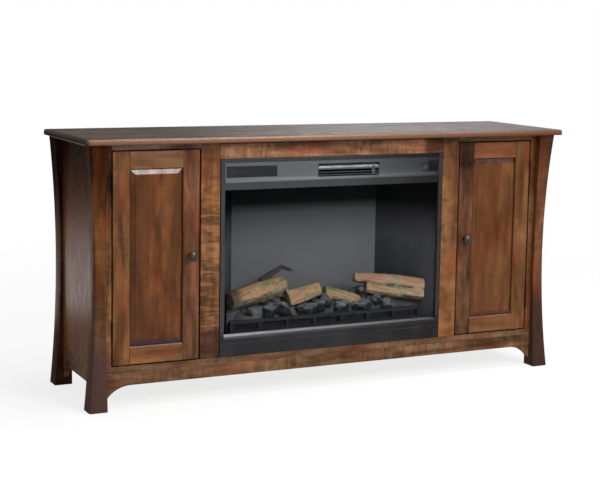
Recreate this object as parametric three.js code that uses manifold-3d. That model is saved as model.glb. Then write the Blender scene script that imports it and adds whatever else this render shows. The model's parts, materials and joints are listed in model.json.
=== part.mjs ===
// Fireplace TV stand: a wooden media cabinet with an electric fireplace insert between two cupboards.
// Millimetres, +Z up, +X to the right as seen from the front, the front faces -Y.
// The origin is on the floor under the middle of the top.

import * as THREE from 'three';
import { mergeVertices } from 'three/addons/utils/BufferGeometryUtils.js';
import Module from 'manifold-3d';

const wasm = await Module();
wasm.setup();

// Overall size: the width follows from the doors, the insert and what frames them
const standDepth = 483;
const standHeight = 893;

// Clearances
const seam = 0.3;            // left between two pieces that meet
const overrun = 5;           // how far a cutter reaches past what it cuts
const mergeDistance = 0.0001;

// Top
const topThickness = 20;
const topUpperRound = 7;
const topLowerRound = 3;
const topCornerRound = 4;

// Posts: square blanks whose outer faces are sawn to a shallow arc
const postSize = 62.5;
const postSideInset = 18.5;
const postFrontInset = 19;
const postBackInset = 1.5;
const postSideSweep = 22;
const postFrontSweep = 18;
const postCornerRound = 9;
const postEase = 2;

// Face frame
const frameThickness = 19;
const frameSetback = 51;
const outerStileWidth = 22;
const innerStileWidth = 68;
const doorHeaderHeight = 20;
const mantelRailHeight = 58;
const bottomRailHeight = 21.5;
const insertOpeningWidth = 865;

// Apron and side rails with arched lower edges
const apronHeight = 43;
const floorClearance = 75;
const archRadius = 105;
const archSpan = 88.5;

// Sides, floor, dividers and back
const sidePanelSetback = 31;      // from the post's outer face at its foot
const sidePanelThickness = 12;
const floorThickness = 18;
const dividerThickness = 18;
const backPanelThickness = 6;
const backPanelSetback = 14;
const cableHoleRadius = 30;
const cableHoleDrop = 110;
const backVentWidth = 500;
const backVentHeight = 280;

// Shelves and their pins
const shelfThickness = 19;
const shelfSetback = 20;
const shelfHeight = 340;          // above the cupboard floor
const shelfPinRadius = 2.5;
const shelfPinReach = 8;
const shelfPinDepth = 8;
const shelfPinInset = 45;

// Doors
const doorWidth = 302;
const doorFrameWidth = 59;
const doorEase = 1.5;
const stickingChamfer = 2.5;
const grooveSetback = 8;
const grooveWidth = 6.6;
const grooveDepth = 9;
const tenonClearance = 0.6;
const panelPlay = 2;              // room for the panel to swell in its groove
const panelBevelWidth = 18;
const panelStep = 1.6;
const panelFieldSetback = 1.2;

// Door knobs
const knobRadius = 16;
const knobNeckRadius = 6;
const knobRoseRadius = 9.5;
const knobRoseThickness = 3;
const knobProjection = 29;
const knobCapThickness = 11;

// Butt hinges
const hingeHeight = 64;
const hingeFromEnd = 78;
const leafThickness = 1.5;
const leafClearance = 0.9;
const leafWidth = 17;
const knuckleRadius = 2.6;
const knuckleProud = 2.4;
const knuckleClearance = 0.4;
const hingePinRadius = 1.1;
const hingeBoreRadius = 1.4;
const hingeTipHeight = 2;
const hingeTipRadius = 2;
const doorGap = 2 * (leafThickness + seam) + leafClearance;

// Magnet stops behind the door headers
const stopWidth = 45;
const stopDepth = 14;
const stopOverlap = 9;

// Insert: steel trim, fascia and sill
const insertSideGap = 2.5;
const insertEndGap = 1;
const trimWidth = 14.5;
const trimDepth = 14;
const trimProud = 2;
const lowerPanelHeight = 59.5;
const lipHeight = 4;
const lipProud = 1.5;
const lipDrop = 16;               // below the lower panel's upper edge
const sillHeight = 16.2;
const sillFaceHeight = 9;
const sillSlopeDepth = 7;
const sillSetback = 0.5;
const fasciaHeight = 105;
const fasciaSetback = 1;
const fasciaThickness = 11;
const fasciaBrowHeight = 6;
const fasciaRecessHeight = 8;     // the shaded band under the brow
const fasciaRecessDepth = 3.5;
const fasciaLedgeHeight = 17;     // the ledge swells out under the windows
const fasciaLedgeProud = 3;
const fasciaLedgeRound = 4;
const fasciaChinHeight = 23;      // the flat band under the ledge
const fasciaChinDepth = 3.5;

// Insert: what sits in the fascia
const windowLeft = 5;             // from the fascia's left end
const windowWidth = 186;
const windowHeight = 38;
const windowDepth = 1.8;
const windowThickness = 1.3;
const windowRise = 42;            // from the fascia's lower edge
const sensorWidth = 40;
const sensorRight = 3;
const ventLeft = 345;
const ventWidth = 243;
const ventHeight = 45;
const ventRise = 35;
const deflectorHeight = 18;
const deflectorDrop = 3;
const deflectorDepth = 9;
const slatThickness = 2;
const slatDepth = 9;
const slatSpacing = 9;
const slatCount = 2;
const ventTabWidth = 10;
const ventTabInset = 20;
const rockerWidth = 19;
const rockerHeight = 28;
const rockerRight = 58;           // centre, from the fascia's right end
const rockerRise = 54;            // centre, from the fascia's lower edge
const rockerDepth = 8;
const rockerProud = 2.5;
const rockerDip = 2;
const rockerClearance = 0.6;
const rockerTilt = 6 * Math.PI / 180;

// Insert: glass, firebox and case
const glassThickness = 4;
const glassSetback = 9;
const fireboxDepth = 230;
const fireboxSplay = 127;
const sheetThickness = 2;
const fireboxFloorDrop = 18;      // below the glass's lower edge
const screenThickness = 3;
const screenSetback = 4;
const caseSideGap = 6;
const caseDepth = 310;

// Grate
const grateSetback = 25;
const grateDepth = 10;
const grateHeight = 54;
const grateLowerBar = 20;
const grateUpperBar = 12;
const gratePostWidth = 11;
const gratePosts = 8;
const grateInset = 40;            // from the glass's ends
const grateLegs = 3;
const grateLegLength = 90;

// Ember bed
const emberFrontGap = 4;
const emberSideGap = 6;
const emberBackGap = 10;
const emberFrontHeight = 42;
const emberHeight = 88;
const emberRise = 34;             // depth over which the bed rises to its full height
const emberLump = 13;
const emberSpacing = 30;          // between two lumps
const emberWaveShares = [2.1, 1.7, 1.9, 1.1];
const emberBendShares = [1.3, 1];

// Logs, one moulding each. Ends lie at shares of the glass's half width from its middle, of the
// firebox's depth from its front and of the embers' height from its floor; radii are shares of a log's.
const logRadius = 30;
const logPocket = 0.4;            // clearance between a log and what it is bedded in
const logWallGap = 1.5;
const logRidgeShare = 0.1;        // three ridges run along each log
const logTwistShare = 0.07;       // and two flatter ones wind about it
const logTwist = 5;               // radians over the log's length
const logShares = {
  logs_left: [
    { start: [-0.9, 0.2, 1.36], end: [-0.35, 0.4, 1.8], radii: [1.1, 0.97], bulge: 0.24, phase: 0.4 },
    { start: [-0.569, 0.4, 1.98], end: [-0.32, 0.57, 2.42], radii: [0.4, 0.27], bulge: 0.03, phase: 1.9 },
    { start: [-0.33, 0.565, 2.42], end: [-0.215, 0.6, 2.2], radii: [0.27, 0.15], bulge: 0.03, phase: 0.9 },
    { start: [-0.33, 0.34, 1.19], end: [-0.02, 0.362, 1.5], radii: [0.97, 0.83], bulge: 0.07, phase: 2.6 },
  ],
  log_middle: [
    { start: [0.02, 0.357, 1.36], end: [0.36, 0.348, 0.85], radii: [0.8, 0.73], bulge: 0.1, phase: 3.3 },
  ],
  log_right: [
    { start: [0.335, 0.45, 1.84], end: [0.935, 0.123, 1.46], radii: [0.63, 0.78], bulge: 0.1, phase: 4.1 },
    { start: [0.43, 0.375, 1.38], end: [0.93, 0.13, 1.04], radii: [0.66, 0.8], bulge: 0.1, phase: 5.2 },
  ],
};

// Heater blower above the firebox
const blowerRadius = 36;
const blowerBladeDepth = 7;
const blowerBlades = 14;
const blowerDiscThickness = 2;
const blowerShaftRadius = 3;
const shaftClearance = 0.3;
const blowerSetback = 62;         // axis, behind the fascia's back
const housingThickness = 2;
const housingRoom = 4;            // between the wheel and its housing

// Flame flicker rod behind the screen
const flickerRodRadius = 4;
const flickerRodHeight = 70;      // above the case's floor
const flickerRodSetback = 42;     // behind the screen
const flickerRodInset = 60;       // from the case's side walls to its brackets
const flickerBladeWidth = 30;
const flickerBladeHeight = 20;
const flickerBladeThickness = 0.8;
const flickerBlades = 12;
const flickerTurn = Math.PI / 4;
const flickerBracketThickness = 3;
const flickerBracketWidth = 30;
const flickerMotorRadius = 22;
const flickerMotorLength = 26;
const flickerRodGrip = 12;        // how far the rod reaches into its motor

// Roundness of the shapes
const arcSteps = 6;
const postLevels = 18;
const postCornerSteps = 3;
const knobSides = 20;
const smallSides = 12;
const logSides = 10;
const logRings = 9;
const emberAcross = 30;
const emberBack = 7;

// Levels and places worked out from the sizes above
const insertOpeningX = insertOpeningWidth / 2;
const doorOpeningInnerX = insertOpeningX + innerStileWidth;
const doorOpeningOuterX = doorOpeningInnerX + doorWidth + 2 * doorGap;
const postInnerX = doorOpeningOuterX + outerStileWidth;
const postOuterX = postInnerX + postSize;
const halfWidth = postOuterX + postSideInset;
const halfDepth = standDepth / 2;
const topUnderside = standHeight - topThickness;
const postHeight = topUnderside - seam;
const frontPostFrontY = -halfDepth + postFrontInset;
const frontPostBackY = frontPostFrontY + postSize;
const backPostBackY = halfDepth - postBackInset;
const backPostFrontY = backPostBackY - postSize;

const frameFrontY = -halfDepth + frameSetback;
const frameBackY = frameFrontY + frameThickness;
const bottomRailZ = floorClearance + apronHeight;
const openingZ = bottomRailZ + bottomRailHeight;
const doorOpeningTopZ = topUnderside - doorHeaderHeight;
const insertOpeningTopZ = topUnderside - mantelRailHeight;

const sideOuterX = postOuterX - sidePanelSetback;
const sideInnerX = sideOuterX - sidePanelThickness;
const sideRailInnerX = sideOuterX - frameThickness;
const backPanelBackY = backPostBackY - backPanelSetback;
const backPanelFrontY = backPanelBackY - backPanelThickness;
const interiorFrontY = frameBackY + seam;
const interiorBackY = backPanelFrontY - seam;
const dividerInnerX = doorOpeningInnerX - dividerThickness;
const shelfZ = openingZ + shelfHeight;

const doorInnerX = doorOpeningInnerX + doorGap;
const doorOuterX = doorOpeningOuterX - doorGap;
const doorBottomZ = openingZ + doorGap;
const doorTopZ = doorOpeningTopZ - doorGap;
const doorMiddleZ = (doorBottomZ + doorTopZ) / 2;
const hingeAxisX = doorOpeningOuterX - doorGap / 2;
const hingeAxisY = frameFrontY - knuckleProud;

const insertX = insertOpeningX - insertSideGap;
const insertBottomZ = openingZ + insertEndGap;
const insertTopZ = insertOpeningTopZ - insertEndGap;
const trimFrontY = frameFrontY - trimProud;
const trimBackY = trimFrontY + trimDepth;
const trimInnerX = insertX - trimWidth;
const fasciaX = trimInnerX - seam;
const fasciaBottomZ = insertTopZ - fasciaHeight;
const fasciaFrontY = trimFrontY + fasciaSetback;
const fasciaBackY = fasciaFrontY + fasciaThickness;
const lowerPanelTopZ = insertBottomZ + lowerPanelHeight;
const sillBottomZ = lowerPanelTopZ + seam;
const sillTopZ = sillBottomZ + sillHeight;
const glassBottomZ = sillTopZ + seam;
const glassTopZ = fasciaBottomZ - seam;
const glassFrontY = trimFrontY + glassSetback;
const caseFrontY = trimBackY + seam;
const caseX = trimInnerX + caseSideGap;
const caseBottomZ = openingZ + seam;
const caseBackY = caseFrontY + caseDepth;
const fireboxFloorZ = glassBottomZ - fireboxFloorDrop;
const fireboxCeilingZ = fasciaBottomZ + sheetThickness;
const fireboxBackY = caseFrontY + fireboxDepth;
const screenFrontY = fireboxBackY - screenSetback - screenThickness;

// Finishes
function finish(color, roughness, metalness = 0) {
  return new THREE.MeshStandardMaterial({ color, roughness, metalness });
}
const wood = finish('#7a4a2e', 0.35);
const topWood = finish('#6b5348', 0.3);
const panelWood = finish('#6e4530', 0.38);
const plywood = finish('#8a6542', 0.6);
const darkBronze = finish('#2b2723', 0.4, 0.8);
const steel = finish('#9a9a9c', 0.3, 1);
const blackSteel = finish('#303234', 0.5, 0.3);
const fasciaGrey = finish('#5a5b5e', 0.45, 0.3);
const glossBlack = finish('#101114', 0.1);
const screenGrey = finish('#55585c', 0.6);
const castIron = finish('#2c2d2f', 0.7, 0.4);
const ash = finish('#4a4a4c', 0.95);
const bark = finish('#8f7458', 0.9);
const glass = finish('#c8cdd0', 0.05);
Object.assign(glass, { transparent: true, opacity: 0.2 });

// A prism's outline is given as [y, z] along x, as [x, z] along y and as [x, y] along z.
const axisTurns = {
  x: new THREE.Matrix4().set(0, 0, 1, 0, 1, 0, 0, 0, 0, 1, 0, 0, 0, 0, 0, 1),
  y: new THREE.Matrix4().set(1, 0, 0, 0, 0, 0, -1, 0, 0, 1, 0, 0, 0, 0, 0, 1),
  z: new THREE.Matrix4(),
};

function flatPoints(outline) {
  return outline.map(([u, v]) => new THREE.Vector2(u, v));
}

function prism(axis, outline, start, end, holes = []) {
  const shape = new THREE.Shape(flatPoints(outline));
  shape.holes = holes.map((hole) => new THREE.Path(flatPoints(hole)));
  const geometry = new THREE.ExtrudeGeometry(shape, { depth: end - start, bevelEnabled: false });
  geometry.translate(0, 0, axis === 'y' ? -end : start);
  return geometry.applyMatrix4(axisTurns[axis]);
}

function rectangle(u0, u1, v0, v1) {
  return [[u0, v0], [u1, v0], [u1, v1], [u0, v1]];
}

function block(x0, x1, y0, y1, z0, z1) {
  const geometry = new THREE.BoxGeometry(x1 - x0, y1 - y0, z1 - z0);
  return geometry.translate((x0 + x1) / 2, (y0 + y1) / 2, (z0 + z1) / 2);
}

function circle(u, v, radius, sides) {
  const points = [];
  for (let i = 0; i < sides; i += 1) {
    const angle = 2 * Math.PI * i / sides;
    points.push([u + radius * Math.cos(angle), v + radius * Math.sin(angle)]);
  }
  return points;
}

// Rings hold the same number of points, counter-clockwise as seen from the last ring's side.
function loft(rings) {
  const count = rings[0].length;
  const index = [];
  for (let k = 0; k < rings.length - 1; k += 1) {
    for (let i = 0; i < count; i += 1) {
      const a = k * count + i;
      const b = k * count + (i + 1) % count;
      index.push(a, b, b + count, a, b + count, a + count);
    }
  }
  const last = (rings.length - 1) * count;
  for (let i = 1; i < count - 1; i += 1) {
    index.push(0, i + 1, i, last, last + i, last + i + 1);
  }
  const geometry = new THREE.BufferGeometry();
  geometry.setAttribute('position', new THREE.Float32BufferAttribute(rings.flat(2), 3));
  geometry.setIndex(index);
  return geometry;
}

// A solid with a grid of points for its top, in rows towards the back, and a flat bottom under them
function mound(rows, bottomZ) {
  const across = rows[0].length;
  const tops = rows.flat();
  const under = tops.length;
  const index = [];
  const quad = (a, b, c, d) => index.push(a, b, c, a, c, d);
  for (let j = 0; j < rows.length - 1; j += 1) {
    for (let i = 0; i < across - 1; i += 1) {
      const a = j * across + i;
      const [b, c, d] = [a + 1, a + across + 1, a + across];
      quad(a, b, c, d);
      quad(under + a, under + d, under + c, under + b);
    }
    const [left, right] = [j * across, (j + 1) * across - 1];
    quad(left, left + across, under + left + across, under + left);
    quad(right, under + right, under + right + across, right + across);
  }
  const back = under - across;
  for (let i = 0; i < across - 1; i += 1) {
    quad(i, under + i, under + i + 1, i + 1);
    quad(back + i, back + i + 1, under + back + i + 1, under + back + i);
  }
  const geometry = new THREE.BufferGeometry();
  const points = [...tops, ...tops.map(([x, y]) => [x, y, bottomZ])];
  geometry.setAttribute('position', new THREE.Float32BufferAttribute(points.flat(), 3));
  geometry.setIndex(index);
  return geometry;
}

function bare(geometry) {
  const copy = geometry.clone();
  for (const name of Object.keys(copy.attributes)) {
    if (name !== 'position') copy.deleteAttribute(name);
  }
  return copy;
}

function solid(geometry) {
  const merged = mergeVertices(bare(geometry), mergeDistance);
  return new wasm.Manifold(new wasm.Mesh({
    numProp: 3,
    vertProperties: merged.attributes.position.array,
    triVerts: Uint32Array.from(merged.index.array),
  }));
}

function surface(manifold) {
  const { vertProperties, triVerts } = manifold.getMesh();
  const geometry = new THREE.BufferGeometry();
  geometry.setAttribute('position', new THREE.BufferAttribute(vertProperties, 3));
  geometry.setIndex(new THREE.BufferAttribute(triVerts, 1));
  return geometry;
}

function joined(...shapes) {
  return surface(shapes.map(solid).reduce((sum, next) => sum.add(next)));
}

function cut(shape, ...cutters) {
  if (!cutters.length) return shape;
  return surface(cutters.map(solid).reduce((rest, cutter) => rest.subtract(cutter), solid(shape)));
}

function mirrored(geometry) {
  const copy = bare(geometry.index ? geometry.toNonIndexed() : geometry);
  const points = copy.attributes.position.array;
  const triangle = 9;
  for (let i = 0; i < points.length; i += triangle) {
    const corners = [0, 6, 3].map((offset) => Array.from(points.slice(i + offset, i + offset + 3)));
    corners.forEach(([x, y, z], k) => points.set([-x, y, z], i + 3 * k));
  }
  return copy;
}

const stand = new THREE.Group();

function add(name, geometry, material) {
  const mesh = new THREE.Mesh(geometry, material);
  mesh.name = name;
  stand.add(mesh);
  return mesh;
}

// Pieces on the left are modelled, and those on the right are their mirror images.
function addPair(name, geometry, material) {
  add(`${name}_left`, geometry, material);
  add(`${name}_right`, mirrored(geometry), material);
}

// Corner arcs run counter-clockwise from the corner at the lowest x and y.
function roundedRing(x0, x1, y0, y1, z, radii, steps) {
  const corners = [[x0, y0, 1, 1], [x1, y0, -1, 1], [x1, y1, -1, -1], [x0, y1, 1, -1]];
  const ring = [];
  corners.forEach(([x, y, inwardX, inwardY], corner) => {
    for (let i = 0; i <= steps; i += 1) {
      const angle = Math.PI + (corner + i / steps) * Math.PI / 2;
      const radius = radii[corner];
      const along = x + radius * (inwardX + Math.cos(angle));
      ring.push([along, y + radius * (inwardY + Math.sin(angle)), z]);
    }
  });
  return ring;
}

// Top with a rounded upper edge and an eased lower edge
function top() {
  const rings = [];
  const level = (inset, z) => {
    const corner = Math.max(topCornerRound, inset + topCornerRound / 2) - inset / 2;
    const [x, y] = [halfWidth - inset, halfDepth - inset];
    rings.push(roundedRing(-x, x, -y, y, z, [corner, corner, corner, corner], postCornerSteps));
  };
  for (let i = 0; i <= arcSteps / 2; i += 1) {
    const angle = Math.PI * i / arcSteps;
    level(topLowerRound * (1 - Math.sin(angle)), topUnderside + topLowerRound * (1 - Math.cos(angle)));
  }
  for (let i = 0; i <= arcSteps; i += 1) {
    const angle = Math.PI / 2 * i / arcSteps;
    level(topUpperRound * (1 - Math.cos(angle)), standHeight - topUpperRound * (1 - Math.sin(angle)));
  }
  return loft(rings);
}

// How far an arc lies inside the straight line between its ends, at height z of a post
function sweepAt(z, sweep) {
  const half = postHeight / 2;
  const radius = (half * half + sweep * sweep) / (2 * sweep);
  return sweep - radius + Math.sqrt(radius * radius - (z - half) * (z - half));
}

function post(isFront) {
  const rings = [];
  for (let i = 0; i <= postLevels; i += 1) {
    const z = postHeight * i / postLevels;
    const outer = -postOuterX + sweepAt(z, postSideSweep);
    const front = isFront ? frontPostFrontY + sweepAt(z, postFrontSweep) : backPostFrontY;
    const back = isFront ? frontPostBackY : backPostBackY;
    const radii = [isFront ? postCornerRound : postEase, postEase, postEase, postEase];
    rings.push(roundedRing(outer, -postInnerX, front, back, z, radii, postCornerSteps));
  }
  return loft(rings);
}

// A rail whose lower edge arches down at both ends, as an outline from start to end
function archedOutline(start, end, topZ) {
  const lower = [];
  for (let i = 0; i <= arcSteps; i += 1) {
    const reach = archSpan * (1 - i / arcSteps);
    const z = floorClearance - archRadius + Math.sqrt(archRadius * archRadius - reach * reach);
    lower.push([archSpan - reach, z]);
  }
  const left = lower.map(([along, z]) => [start + along, z]);
  const right = lower.map(([along, z]) => [end - along, z]).reverse();
  return [...left, ...right, [end, topZ], [start, topZ]];
}

function addCarcass() {
  add('top_slab', top(), topWood);
  addPair('post_front', post(true), wood);
  addPair('post_back', post(false), wood);

  const betweenPosts = [frontPostBackY + seam, backPostFrontY - seam];
  const sideRail = prism('x', archedOutline(...betweenPosts, openingZ), -sideOuterX, -sideRailInnerX);
  addPair('side_rail', sideRail, wood);
  const panelZ = [openingZ + seam, topUnderside - seam];
  const sidePanel = block(-sideOuterX, -sideInnerX, ...betweenPosts, ...panelZ);
  addPair('side_panel', joined(sidePanel, ...shelfPins(-sideInnerX, 1)), wood);

  const railX = postInnerX - seam;
  const frameDepth = [frameFrontY, frameBackY];
  const apronOutline = archedOutline(-railX, railX, bottomRailZ - seam);
  add('front_apron', prism('y', apronOutline, ...frameDepth), wood);
  add('bottom_rail', block(-railX, railX, ...frameDepth, bottomRailZ, openingZ), wood);
  const stileZ = [openingZ + seam, topUnderside - seam];
  addPair('outer_stile', block(-railX, -doorOpeningOuterX, ...frameDepth, ...stileZ), wood);
  addPair('inner_stile', block(-doorOpeningInnerX, -insertOpeningX, ...frameDepth, ...stileZ), wood);
  addPair('door_header', doorHeader(), wood);
  const mantelX = insertOpeningX - seam;
  const mantelZ = [insertOpeningTopZ, topUnderside - seam];
  add('mantel_rail', block(-mantelX, mantelX, ...frameDepth, ...mantelZ), wood);
}

function floorBoard() {
  const sideX = sideRailInnerX - seam;
  const postX = postInnerX - seam;
  const quarter = [
    [postX, interiorFrontY], [postX, frontPostBackY + seam], [sideX, frontPostBackY + seam],
    [sideX, backPostFrontY - seam], [postX, backPostFrontY - seam], [postX, interiorBackY],
  ];
  const outline = [...quarter, ...quarter.map(([x, y]) => [-x, y]).reverse()];
  return prism('z', outline, openingZ - floorThickness, openingZ);
}

// A header with the block behind it that the door closes against
function doorHeader() {
  const x = [-doorOpeningOuterX + seam, -doorOpeningInnerX - seam];
  const stopX = -doorInnerX - doorFrameWidth;
  const stopZ = [doorTopZ - stopOverlap, topUnderside - seam];
  return joined(
    block(...x, frameFrontY, frameBackY, doorOpeningTopZ, topUnderside - seam),
    block(stopX, stopX + stopWidth, interiorFrontY, interiorFrontY + stopDepth, ...stopZ),
    block(stopX, stopX + stopWidth, frameBackY - seam, interiorFrontY + seam, doorOpeningTopZ, stopZ[1]),
  );
}

function divider() {
  const [z0, z1] = [openingZ + seam, topUnderside - seam];
  const board = block(-doorOpeningInnerX, -dividerInnerX, interiorFrontY, interiorBackY, z0, z1);
  return joined(board, ...shelfPins(-doorOpeningInnerX, -1));
}

function backPanel() {
  const holeX = (doorOpeningInnerX + doorOpeningOuterX) / 2;
  const holeZ = topUnderside - cableHoleDrop;
  const middleZ = (openingZ + topUnderside) / 2;
  const [ventX, halfVent] = [backVentWidth / 2, backVentHeight / 2];
  const holes = [
    circle(-holeX, holeZ, cableHoleRadius, 2 * smallSides),
    circle(holeX, holeZ, cableHoleRadius, 2 * smallSides),
    rectangle(-ventX, ventX, middleZ - halfVent, middleZ + halfVent),
  ];
  const edgeX = postInnerX - seam;
  const outline = rectangle(-edgeX, edgeX, openingZ - floorThickness, topUnderside - seam);
  return prism('y', outline, backPanelFrontY, backPanelBackY, holes);
}

const shelfFrontY = frameBackY + shelfSetback;
const shelfBackY = interiorBackY;

function shelf() {
  const outerX = sideInnerX - seam;
  const postX = postInnerX - seam;
  const innerX = doorOpeningInnerX + seam;
  const postY = backPostFrontY - seam;
  const outline = [
    [-outerX, shelfFrontY], [-innerX, shelfFrontY], [-innerX, shelfBackY],
    [-postX, shelfBackY], [-postX, postY], [-outerX, postY],
  ];
  return prism('z', outline, shelfZ, shelfZ + shelfThickness);
}

// The two pins that a wall at wallX holds under the shelf, which lies on its side towards
function shelfPins(wallX, towards) {
  const ends = [wallX - towards * shelfPinDepth, wallX + towards * shelfPinReach];
  const rows = [shelfFrontY + shelfPinInset, backPostFrontY - shelfPinInset];
  const pinZ = shelfZ - seam - shelfPinRadius;
  const extent = [Math.min(...ends), Math.max(...ends)];
  return rows.map((y) => prism('x', circle(y, pinZ, shelfPinRadius, smallSides), ...extent));
}

function addInterior() {
  add('cabinet_floor', floorBoard(), plywood);
  addPair('divider', divider(), plywood);
  add('back_panel', backPanel(), plywood);
  addPair('shelf', shelf(), plywood);
}

// Section of a door stile or rail: across from its outer edge, and back from its face
const grooveFloor = doorFrameWidth - grooveDepth;
const grooveBack = grooveSetback + grooveWidth;
const doorSection = [
  [0, doorEase], [doorEase, 0], [doorFrameWidth - stickingChamfer, 0], [doorFrameWidth, stickingChamfer],
  [doorFrameWidth, grooveSetback], [grooveFloor, grooveSetback], [grooveFloor, grooveBack],
  [doorFrameWidth, grooveBack], [doorFrameWidth, frameThickness], [0, frameThickness],
];

function doorStile(outerX, inward) {
  const outline = doorSection.map(([across, back]) => [outerX + inward * across, frameFrontY + back]);
  return prism('z', outline, doorBottomZ, doorTopZ);
}

function doorRail(outerZ, inward) {
  const x0 = -doorOuterX + doorFrameWidth + seam;
  const x1 = -doorInnerX - doorFrameWidth - seam;
  const outline = doorSection.map(([across, back]) => [frameFrontY + back, outerZ + inward * across]);
  const tenonY = frameFrontY + grooveSetback + tenonClearance;
  const tenonBackY = frameFrontY + grooveBack - tenonClearance;
  const tenonReach = grooveDepth - panelPlay;
  const tenonZ = [outerZ + inward * doorEase, outerZ + inward * grooveFloor];
  const tenon = block(
    x0 - tenonReach, x1 + tenonReach, tenonY, tenonBackY, Math.min(...tenonZ), Math.max(...tenonZ));
  return joined(prism('x', outline, x0, x1), tenon);
}

function doorPanel() {
  const frameEdge = grooveFloor + panelPlay;
  const tongueFront = grooveSetback + tenonClearance;
  const tongueBack = grooveBack - tenonClearance;
  const bevelStart = doorFrameWidth;
  const bevelEnd = doorFrameWidth + panelBevelWidth;
  const profile = [
    [frameEdge, tongueBack], [frameEdge, tongueFront], [bevelStart, tongueFront],
    [bevelEnd, panelFieldSetback + panelStep], [bevelEnd, panelFieldSetback],
  ];
  const rings = profile.map(([inset, back]) => {
    const [x0, x1] = [-doorOuterX + inset, -doorInnerX - inset];
    const [z0, z1] = [doorBottomZ + inset, doorTopZ - inset];
    return rectangle(x0, x1, z0, z1).map(([x, z]) => [x, frameFrontY + back, z]);
  });
  return loft(rings);
}

function doorKnob() {
  const capBase = knobProjection - knobCapThickness;
  const profile = [[0, 0], [knobRoseRadius, 0], [knobRoseRadius, knobRoseThickness / 2]];
  profile.push([knobNeckRadius, knobRoseThickness], [knobNeckRadius, capBase - knobNeckRadius / 2]);
  for (let i = 0; i <= arcSteps; i += 1) {
    const angle = Math.PI / 2 * i / arcSteps;
    const rise = capBase + knobCapThickness / 3 + knobCapThickness * 2 / 3 * Math.sin(angle);
    profile.push([knobRadius * Math.cos(angle), rise]);
  }
  profile[profile.length - 1][0] = 0;
  profile.splice(5, 0, [knobRadius - knobCapThickness / 3, capBase]);
  const turned = new THREE.LatheGeometry(flatPoints(profile), knobSides);
  turned.rotateX(Math.PI);
  return turned.translate(-(doorInnerX + doorFrameWidth / 2), frameFrontY - seam, doorMiddleZ);
}

function tube(radius, z0, z1, sides = smallSides) {
  return prism('z', circle(-hingeAxisX, hingeAxisY, radius, sides), z0, z1);
}

// Leaf beside the hinge's axis: its plate lies behind the knuckles and reaches a distance from the axis
function hingeLeaf(towards, reach, z0, knuckles) {
  const plateX = [-hingeAxisX + towards * leafClearance / 2, -hingeAxisX + towards * reach];
  const [x0, x1] = [Math.min(...plateX), Math.max(...plateX)];
  const plateY = hingeAxisY + knuckleRadius + knuckleClearance;
  const plate = block(x0, x1, plateY, plateY + leafWidth, z0, z0 + hingeHeight);
  const parts = knuckles.flatMap(([from, to]) => [
    tube(knuckleRadius, from, to),
    block(x0, x1, hingeAxisY, plateY + leafThickness, from, to),
  ]);
  return [plate, ...parts];
}

// Two end knuckles and the pin belong to the frame, the middle knuckle to the door.
function hinge(z0) {
  const third = hingeHeight / 3;
  const half = knuckleClearance / 2;
  const pin = [
    tube(hingePinRadius, z0 - half, z0 + hingeHeight + half),
    tube(hingeTipRadius, z0 - hingeTipHeight, z0),
    tube(hingeTipRadius, z0 + hingeHeight, z0 + hingeHeight + hingeTipHeight),
  ];
  const ends = [[z0, z0 + third - half], [z0 + 2 * third + half, z0 + hingeHeight]];
  const middle = [[z0 + third + half, z0 + 2 * third - half]];
  const bore = tube(hingeBoreRadius, z0 - overrun, z0 + hingeHeight + overrun);
  const frameReach = leafClearance / 2 + leafThickness;
  return {
    fixed: joined(...hingeLeaf(-1, frameReach, z0, ends), ...pin),
    moving: cut(joined(...hingeLeaf(1, doorGap / 2 + seam, z0, middle)), bore),
  };
}

function addDoors() {
  const places = { lower: doorBottomZ + hingeFromEnd, upper: doorTopZ - hingeFromEnd - hingeHeight };
  const leaves = [];
  for (const [place, z0] of Object.entries(places)) {
    const { fixed, moving } = hinge(z0);
    addPair(`hinge_${place}`, fixed, darkBronze);
    leaves.push(moving);
  }
  addPair('door_hinge_stile', joined(doorStile(-doorOuterX, 1), ...leaves), wood);
  addPair('door_knob_stile', doorStile(-doorInnerX, -1), wood);
  addPair('door_top_rail', doorRail(doorTopZ, -1), wood);
  addPair('door_bottom_rail', doorRail(doorBottomZ, 1), wood);
  addPair('door_panel', doorPanel(), panelWood);
  addPair('door_knob', doorKnob(), darkBronze);
}

function insertTrim() {
  const outline = [
    [-insertX, insertBottomZ], [insertX, insertBottomZ], [insertX, insertTopZ], [trimInnerX, insertTopZ],
    [trimInnerX, lowerPanelTopZ], [-trimInnerX, lowerPanelTopZ], [-trimInnerX, insertTopZ],
    [-insertX, insertTopZ],
  ];
  const lip = block(
    -insertX, insertX, trimFrontY - lipProud, trimBackY,
    lowerPanelTopZ - lipDrop - lipHeight, lowerPanelTopZ - lipDrop);
  return joined(prism('y', outline, trimFrontY, trimBackY), lip);
}

const ventX = -fasciaX + ventLeft;
const ventZ = fasciaBottomZ + ventRise;
const windowX = -fasciaX + windowLeft;
const windowZ = fasciaBottomZ + windowRise;
const sensorX = fasciaX - sensorRight - sensorWidth;
const rockerX = fasciaX - rockerRight;
const rockerZ = fasciaBottomZ + rockerRise;
const rockerPivotY = fasciaFrontY + rockerDepth / 2;

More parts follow.
